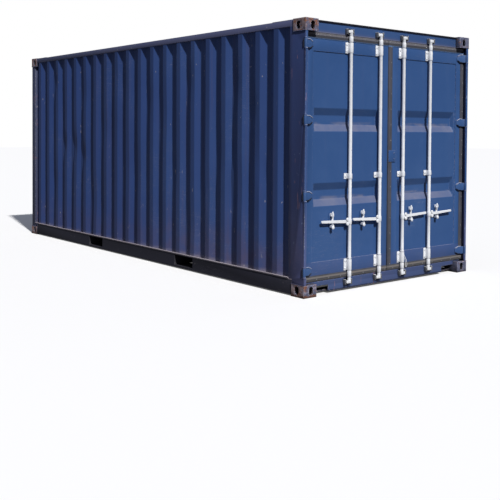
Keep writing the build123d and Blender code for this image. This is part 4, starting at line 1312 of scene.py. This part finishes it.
class CONTAINER_OT_floor(bpy.types.Operator):
    """Lays the plywood planks, with their screws"""

    bl_idname = "container.floor"
    bl_label = "Floor"

    def execute(self, context):
        low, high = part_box("plywood_floor")
        pitch = (high.y - low.y) / PLANKS
        work = bmesh.new()
        for row in range(PLANKS):
            shift = PLANK_SHIFT if row % 2 else 0.0
            ends = [low.x, PLANK_JOINTS[0] + shift, PLANK_JOINTS[1] + shift * 0.6, high.x]
            near = low.y + row * pitch + (PLANK_GAP / 2 if row else 0)
            far = low.y + (row + 1) * pitch - (PLANK_GAP / 2 if row < PLANKS - 1 else 0)
            for first, last in zip(ends, ends[1:]):
                start = first + (PLANK_GAP / 2 if first > low.x else 0)
                stop = last - (PLANK_GAP / 2 if last < high.x else 0)
                middle = Vector(((start + stop) / 2, (near + far) / 2, (low.z + high.z) / 2))
                size = Vector((stop - start, far - near, high.z - low.z))
                place = Matrix.Translation(middle) @ Matrix.Diagonal((*size, 1))
                bmesh.ops.create_cube(work, size=1.0, matrix=place)
        piece = linked("floor_planks", mesh_of("floor_planks", work))
        coat(piece.data, finish_of("floor_plywood"))
        bevel = piece.modifiers.new("eased edges", "BEVEL")
        bevel.width = 0.0015
        bevel.segments = 2
        settled(piece)
        shade(piece.data)
        tie(piece, "container", "plywood_floor")
        heads = [(x, low.y + row * pitch + across, high.z)
                 for x in member_places() for row in range(PLANKS)
                 for across in (SCREW_INSET, pitch / 2, pitch - SCREW_INSET)]
        studs("floor_screws", heads, (0, 0, 1), "container", "underframe_paint", 0.007,
              0.0012, dome=0.85, sides=10, finish="bolt_metal")
        return {"FINISHED"}


def panel_places(edges, low, high, spacing, slope):
    """Places across a pressed panel, close together where a trough bends."""
    places = [low, high]
    for edge, inward in edges:
        places += [edge + inward * slope * share for share in TROUGH_STEP_SHARES]
    ordered = spread(p for p in places if low <= p <= high)
    filled = []
    for here, after in zip(ordered, ordered[1:]):
        count = max(1, round((after - here) / spacing))
        filled += [here + (after - here) * k / count for k in range(count)]
    return filled + [ordered[-1]]


class CONTAINER_OT_doors(bpy.types.Operator):
    """Rounds the door frames and presses the panels with their two troughs"""

    bl_idname = "container.doors"
    bl_label = "Doors"

    def execute(self, context):
        edge = context.scene.container_hardware.edge
        for name, side in SIDES.items():
            softened(f"{name}_door_frame", edge * 1.5, "door_paint")
            low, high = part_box(f"{name}_door_panel")
            middle = (low.y + high.y) / 2
            half = (high.y - low.y) / 2 - TROUGH_END_MARGIN
            edges_y = [(middle - half, 1), (middle + half, -1)]
            edges_z = [(z + turn * TROUGH_MOUTH / 2, -turn) for z in TROUGH_HEIGHTS
                       for turn in (1, -1)]
            across = panel_places(edges_y, low.y, high.y, PANEL_SPACING, TROUGH_END_SLOPE)
            up = panel_places(edges_z, low.z, high.z, PANEL_SPACING, TROUGH_SLOPE)
            lattice = sheet_lattice(
                f"{name}_door_sheet", across, up, Vector((high.x, 0, 0)), Vector((0, 1, 0)),
                Vector((0, 0, 1)), Vector((-1, 0, 0)), lambda y, z: True)
            for vertex in lattice.vertices:
                y, z = vertex.co.y, vertex.co.z
                nearest = min(TROUGH_HEIGHTS, key=lambda t: abs(z - t))
                along = (half - abs(y - middle)) / TROUGH_END_SLOPE
                over = (TROUGH_MOUTH / 2 - abs(z - nearest)) / TROUGH_SLOPE
                share = soft_least(along, over, TROUGH_BEND)
                share = soft_most(soft_least(share, 1.0, TROUGH_BEND), 0.0, TROUGH_BEND)
                margin = min(y - low.y, high.y - y, z - low.z, high.z - z)
                free = min(1.0, max(0.0, margin) / PANEL_HOLD)
                slack = noise.noise(Vector((side * 3.0, y * 2.1, z * 1.3))) * PANEL_SLACK
                vertex.co.x -= TROUGH_DEPTH * share - free * (slack - PANEL_LEAN)
            piece = linked(f"{name}_door_sheet", lattice)
            coat(lattice, finish_of("door_paint"))
            thickened(piece, PANEL_SHEET)
            tie(piece, f"{name}_door", f"{name}_door_panel")
        return {"FINISHED"}


class CONTAINER_OT_seals(bpy.types.Operator):
    """Adds the ribs and rivets of the door seals"""

    bl_idname = "container.seals"
    bl_label = "Door seals"

    def execute(self, context):
        hardware = context.scene.container_hardware
        for name, side in SIDES.items():
            softened(f"{name}_door_gasket", 0.0012)
            low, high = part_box(f"{name}_door_gasket")
            face = high.x
            near = SEAL_STARTS[name]
            far = max(abs(low.y), abs(high.y))
            lines = []
            for inset in RIB_INSETS:
                inner = near + inset if side > 0 else near
                outer = far - inset
                ring = [(face, side * inner, low.z + inset), (face, side * outer, low.z + inset),
                        (face, side * outer, high.z - inset),
                        (face, side * inner, high.z - inset)]
                if side > 0:
                    ring.append(ring[0])
                lines.append(ring)
            beads(f"{name}_seal_ribs", lines, f"{name}_door", "door_rubber", radius=0.0022,
                  lumps=0.0, step=0.05)
            spacing = hardware.rivet_spacing
            heads = []
            for level in (low.z + RIVET_INSET, high.z - RIVET_INSET):
                count = int((far - max(near, 0)) / spacing)
                heads += [(face, side * (0.06 + (far - 0.09) * k / count), level)
                          for k in range(count + 1)]
            count = int((high.z - low.z - 0.1) / spacing)
            column = [low.z + 0.06 + (high.z - low.z - 0.12) * k / count
                      for k in range(count + 1)]
            heads += [(face, side * (far - RIVET_INSET), z) for z in column]
            if side > 0:
                heads += [(face, 0.012, z) for z in column if abs(z - 1.30) > 0.09]
            studs(f"{name}_seal_rivets", heads, (1, 0, 0), f"{name}_door", "door_rubber",
                  0.005, 0.0018, dome=0.55, sides=10, finish="bolt_metal")
        return {"FINISHED"}


class CONTAINER_OT_hinges(bpy.types.Operator):
    """Rounds the hinge blades and pins and adds their raised rims and bosses, with painted
    highlight on the upper rims and lugs and painted shadow under the blades and in the notches
    """

    bl_idname = "container.hinges"
    bl_label = "Hinges"

    def execute(self, context):
        for name, side in SIDES.items():
            softened(f"{name}_door_hinges", 0.003, "hinge_paint", segments=3)
            softened(f"{name}_hinge_pins", 0.0015, "post_paint")
            face = DOOR_FACE + BLADE_RISE
            # Upper rims get painted highlight and lower rims near-black painted shadow
            light, dark, chips = [], [], []
            for z in HINGE_HEIGHTS:
                for rims, turn in ((light, 1), (dark, -1)):
                    rims.append([
                        (DOOR_FACE + 0.010, side * 1.084, z + turn * 0.022),
                        (face, side * 1.122, z + turn * 0.040),
                        (face, side * 1.165, z + turn * 0.0405)])
                # Painted shadow in each hinge notch
                dark.append([(3.0005, side * 1.2165, z + turn * 0.036) for turn in (1, -1)])
                # Painted highlight along the lit lower lug of each notch
                chips.append([(3.0245, side * y, z - 0.046) for y in (1.190, 1.210)])
            beads(f"{name}_hinge_rims", light, f"{name}_door", "blue_paint", radius=0.0056,
                  lumps=0.2, step=0.008, finish="hinge_rim_paint")
            # Painted shadow under the blades and in the notches, as near-black beads
            beads(f"{name}_hinge_painted_shadow", dark, f"{name}_door", "blue_paint", radius=0.0046,
                  lumps=0.1, step=0.008, finish="near_black_beads")
            beads(f"{name}_lug_highlights", chips, "container", "blue_paint", radius=0.0048,
                  lumps=0.4, step=0.006, finish="hinge_rim_paint")
            caps = [(HINGE_PIN_X, side * HINGE_PIN_Y, z + PIN_CAP_RISE)
                    for z in HINGE_HEIGHTS]
            studs(f"{name}_pin_caps", caps, (0, 0, 1), "container", "blue_paint", 0.0115,
                  0.006, dome=0.7, sides=14, finish="post_paint")
        return {"FINISHED"}


class CONTAINER_OT_lock_gear(bpy.types.Operator):
    """Rounds the rods, handles, brackets, keepers and catches and adds their fasteners"""

    bl_idname = "container.lock_gear"
    bl_label = "Lock gear"

    def execute(self, context):
        hardware = context.scene.container_hardware
        softened("header_cam_keepers", 0.003, "keeper_paint", segments=3)
        softened("sill_cam_keepers", 0.003, "keeper_paint", segments=3)
        for name, side in SIDES.items():
            softened(f"{name}_rod_brackets", 0.0022, segments=3)
            softened(f"{name}_handle_catches", 0.003, "catch_paint", segments=3)
            bolts, catches = [], []
            for rod, place in ROD_PLACES.items():
                softened(f"{name}_{rod}_lock_rod", 0.0018, segments=2)
                softened(f"{name}_{rod}_handle", 0.0042, segments=4)
                y = side * place
                solids = []
                for turn in (1, -1):
                    centre = (ROD_AXIS_X + BOSS_RISE, y + side * BOSS_OFFSET,
                              HANDLE_LEVEL + turn * BOSS_SPREAD)
                    solids.append((Vector(centre), Vector((1, 0, 0)), BOSS_PROFILE, 20))
                for start, stop in SLEEVE_SPANS:
                    tall = stop - start
                    rim = SLEEVE_RADIUS - SLEEVE_EASE
                    profile = [(SLEEVE_BORE, 0.0), (rim, 0.0),
                               (SLEEVE_RADIUS, 2 * SLEEVE_EASE),
                               (SLEEVE_RADIUS, tall - 2 * SLEEVE_EASE), (rim, tall),
                               (SLEEVE_BORE, tall)]
                    solids.append((Vector((ROD_AXIS_X, y, start)), Vector((0, 0, 1)), profile,
                                   24))
                turned_piece(f"{name}_{rod}_rod_bosses", solids, f"{name}_{rod}_rod")
                bolts += [(DOOR_FACE + BOLT_RISE, y - BOLT_INSET, z) for z in BOLT_LEVELS]
                bolts.append((PANEL_FACE + BOLT_RISE, y - BOLT_INSET, MIDDLE_BOLT_LEVEL))
                catches.append(side * (place + CATCH_PLACES[name]))
            studs(f"{name}_bracket_bolts", bolts, (1, 0, 0), f"{name}_door", "pale_paint",
                  hardware.bolt_radius * 1.25, hardware.bolt_height * 1.3, dome=0.75)
            solids = [(Vector((PANEL_FACE + HEAD_RISE, y, KNOB_LEVEL)), Vector((1, 0, 0)),
                       KNOB_PROFILE, 20) for y in catches]
            for y in catches:
                finger = Vector((PANEL_FACE + HEAD_RISE, y, FINGER_LEVEL))
                stem = Vector((PANEL_FACE + 0.0095, y + 0.019,
                               0.5 * (FINGER_LEVEL + KNOB_LEVEL)))
                solids.append((finger, FINGER_LEAN.normalized(), FINGER_PROFILE, 16))
                solids.append((stem, Vector((0, 0, 1)), STEM_PROFILE, 16))
            turned_piece(f"{name}_catch_heads", solids, f"{name}_door")
        return {"FINISHED"}


class CONTAINER_OT_overlap_plate(bpy.types.Operator):
    """Rounds the plate that laps the right door over the left, with its bolts"""

    bl_idname = "container.overlap_plate"
    bl_label = "Overlap plate"

    def execute(self, context):
        hardware = context.scene.container_hardware
        softened("centre_overlap_plate", 0.002, "door_paint")
        low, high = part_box("centre_overlap_plate")
        heads = [(high.x, high.y - 0.022, z) for z in (low.z + 0.030, high.z - 0.030)]
        studs("overlap_bolts", heads, (1, 0, 0), "right_door", "blue_paint",
              hardware.bolt_radius, hardware.bolt_height, finish="door_paint")
        return {"FINISHED"}


class CONTAINER_OT_welds(bpy.types.Operator):
    """Runs weld beads round the castings and where the walls meet the frame"""

    bl_idname = "container.welds"
    bl_label = "Welds"

    def execute(self, context):
        for name, side in SIDES.items():
            low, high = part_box(f"{name}_rear_post")
            outer = side * max(abs(low.y), abs(high.y))
            frame_end = high.x
            lines = [[(end * FITTING_X, outer, z), (end * frame_end, outer, z)]
                     for end in (1, -1) for z in (FITTING_BOTTOM, FITTING_LEVEL)]
            beads(f"{name}_frame_welds", lines, "container", "blue_paint",
                  finish="post_paint", step=0.012, radius=0.003)
            wall_low, wall_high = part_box(f"{name}_side_wall")
            ledge = [(end, side * LEDGE_Y, RAIL_LEVEL + 0.007)
                     for end in (wall_low.x, wall_high.x)]
            beads(f"{name}_ledge_dirt", [ledge], "container", "underframe_paint",
                  finish="ledge_dirt", step=0.012, radius=0.0078, lumps=0.35)
            inner_level = side * (max(abs(wall_low.y), abs(wall_high.y)) - WALL.own_depth)
            seams = [[(wall_high.x, inner_level, z) for z in (RAIL_LEVEL, SEAM_TOP)]]
            beads(f"{name}_post_seam", seams, "container", "blue_paint",
                  finish="post_paint", step=0.02, radius=0.004)
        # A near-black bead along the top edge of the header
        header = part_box("door_header")[1]
        lines = [[(header.x - 0.002, turn * FITTING_Y, header.z - 0.003) for turn in (-1, 1)]]
        beads("header_top_dark_bead", lines, "container", "underframe_paint", step=0.04,
              radius=0.0085, lumps=0.15, finish="near_black_beads")
        return {"FINISHED"}


class CONTAINER_OT_seal_wire(bpy.types.Operator):
    """Hangs the thin twisted wire that was left on a lower bracket"""

    bl_idname = "container.seal_wire"
    bl_label = "Seal wire"

    def execute(self, context):
        route = [(2.990, 0.196, 0.300), (2.998, 0.212, 0.262), (3.000, 0.232, 0.225),
                 (2.997, 0.252, 0.182), (2.990, 0.258, 0.150), (2.985, 0.246, 0.142),
                 (2.986, 0.240, 0.160), (2.992, 0.232, 0.200), (2.994, 0.214, 0.240),
                 (2.988, 0.197, 0.285)]
        beads("seal_wire", [route], "right_door", "pale_paint", radius=0.0030, lumps=0.2,
              step=0.006)
        return {"FINISHED"}


class CONTAINER_PT_panel(bpy.types.Panel):
    """Lists the container's pieces and settings"""

    bl_label = "Shipping container"
    bl_idname = "CONTAINER_PT_panel"
    bl_space_type = "VIEW_3D"
    bl_region_type = "UI"
    bl_category = "Container"

    def draw(self, context):
        for settings in SETTINGS:
            group = getattr(context.scene, settings)
            box = self.layout.box()
            for name in group.bl_rna.properties.keys():
                if name not in ("rna_type", "name"):
                    box.prop(group, name)
        for operator in OPERATORS:
            self.layout.operator(operator.bl_idname)


OPERATORS = (
    CONTAINER_OT_stage, CONTAINER_OT_side_walls, CONTAINER_OT_front_wall,
    CONTAINER_OT_roof, CONTAINER_OT_corner_fittings, CONTAINER_OT_frame,
    CONTAINER_OT_underframe, CONTAINER_OT_floor, CONTAINER_OT_doors, CONTAINER_OT_seals,
    CONTAINER_OT_hinges, CONTAINER_OT_lock_gear, CONTAINER_OT_overlap_plate,
    CONTAINER_OT_welds, CONTAINER_OT_seal_wire,
)
SETTINGS = {
    "container_stage": StageSettings, "container_paint": PaintSettings,
    "container_sheets": SheetSettings, "container_hardware": HardwareSettings,
}


def register():
    for name, group in SETTINGS.items():
        bpy.utils.register_class(group)
        setattr(bpy.types.Scene, name, PointerProperty(type=group))
    for operator in OPERATORS:
        bpy.utils.register_class(operator)
    bpy.utils.register_class(CONTAINER_PT_panel)


def unregister():
    bpy.utils.unregister_class(CONTAINER_PT_panel)
    for operator in reversed(OPERATORS):
        bpy.utils.unregister_class(operator)
    for name, group in SETTINGS.items():
        delattr(bpy.types.Scene, name)
        bpy.utils.unregister_class(group)


def main():
    register()
    for operator in OPERATORS:
        group, name = operator.bl_idname.split(".")
        getattr(getattr(bpy.ops, group), name)()


if __name__ == "__main__":
    main()
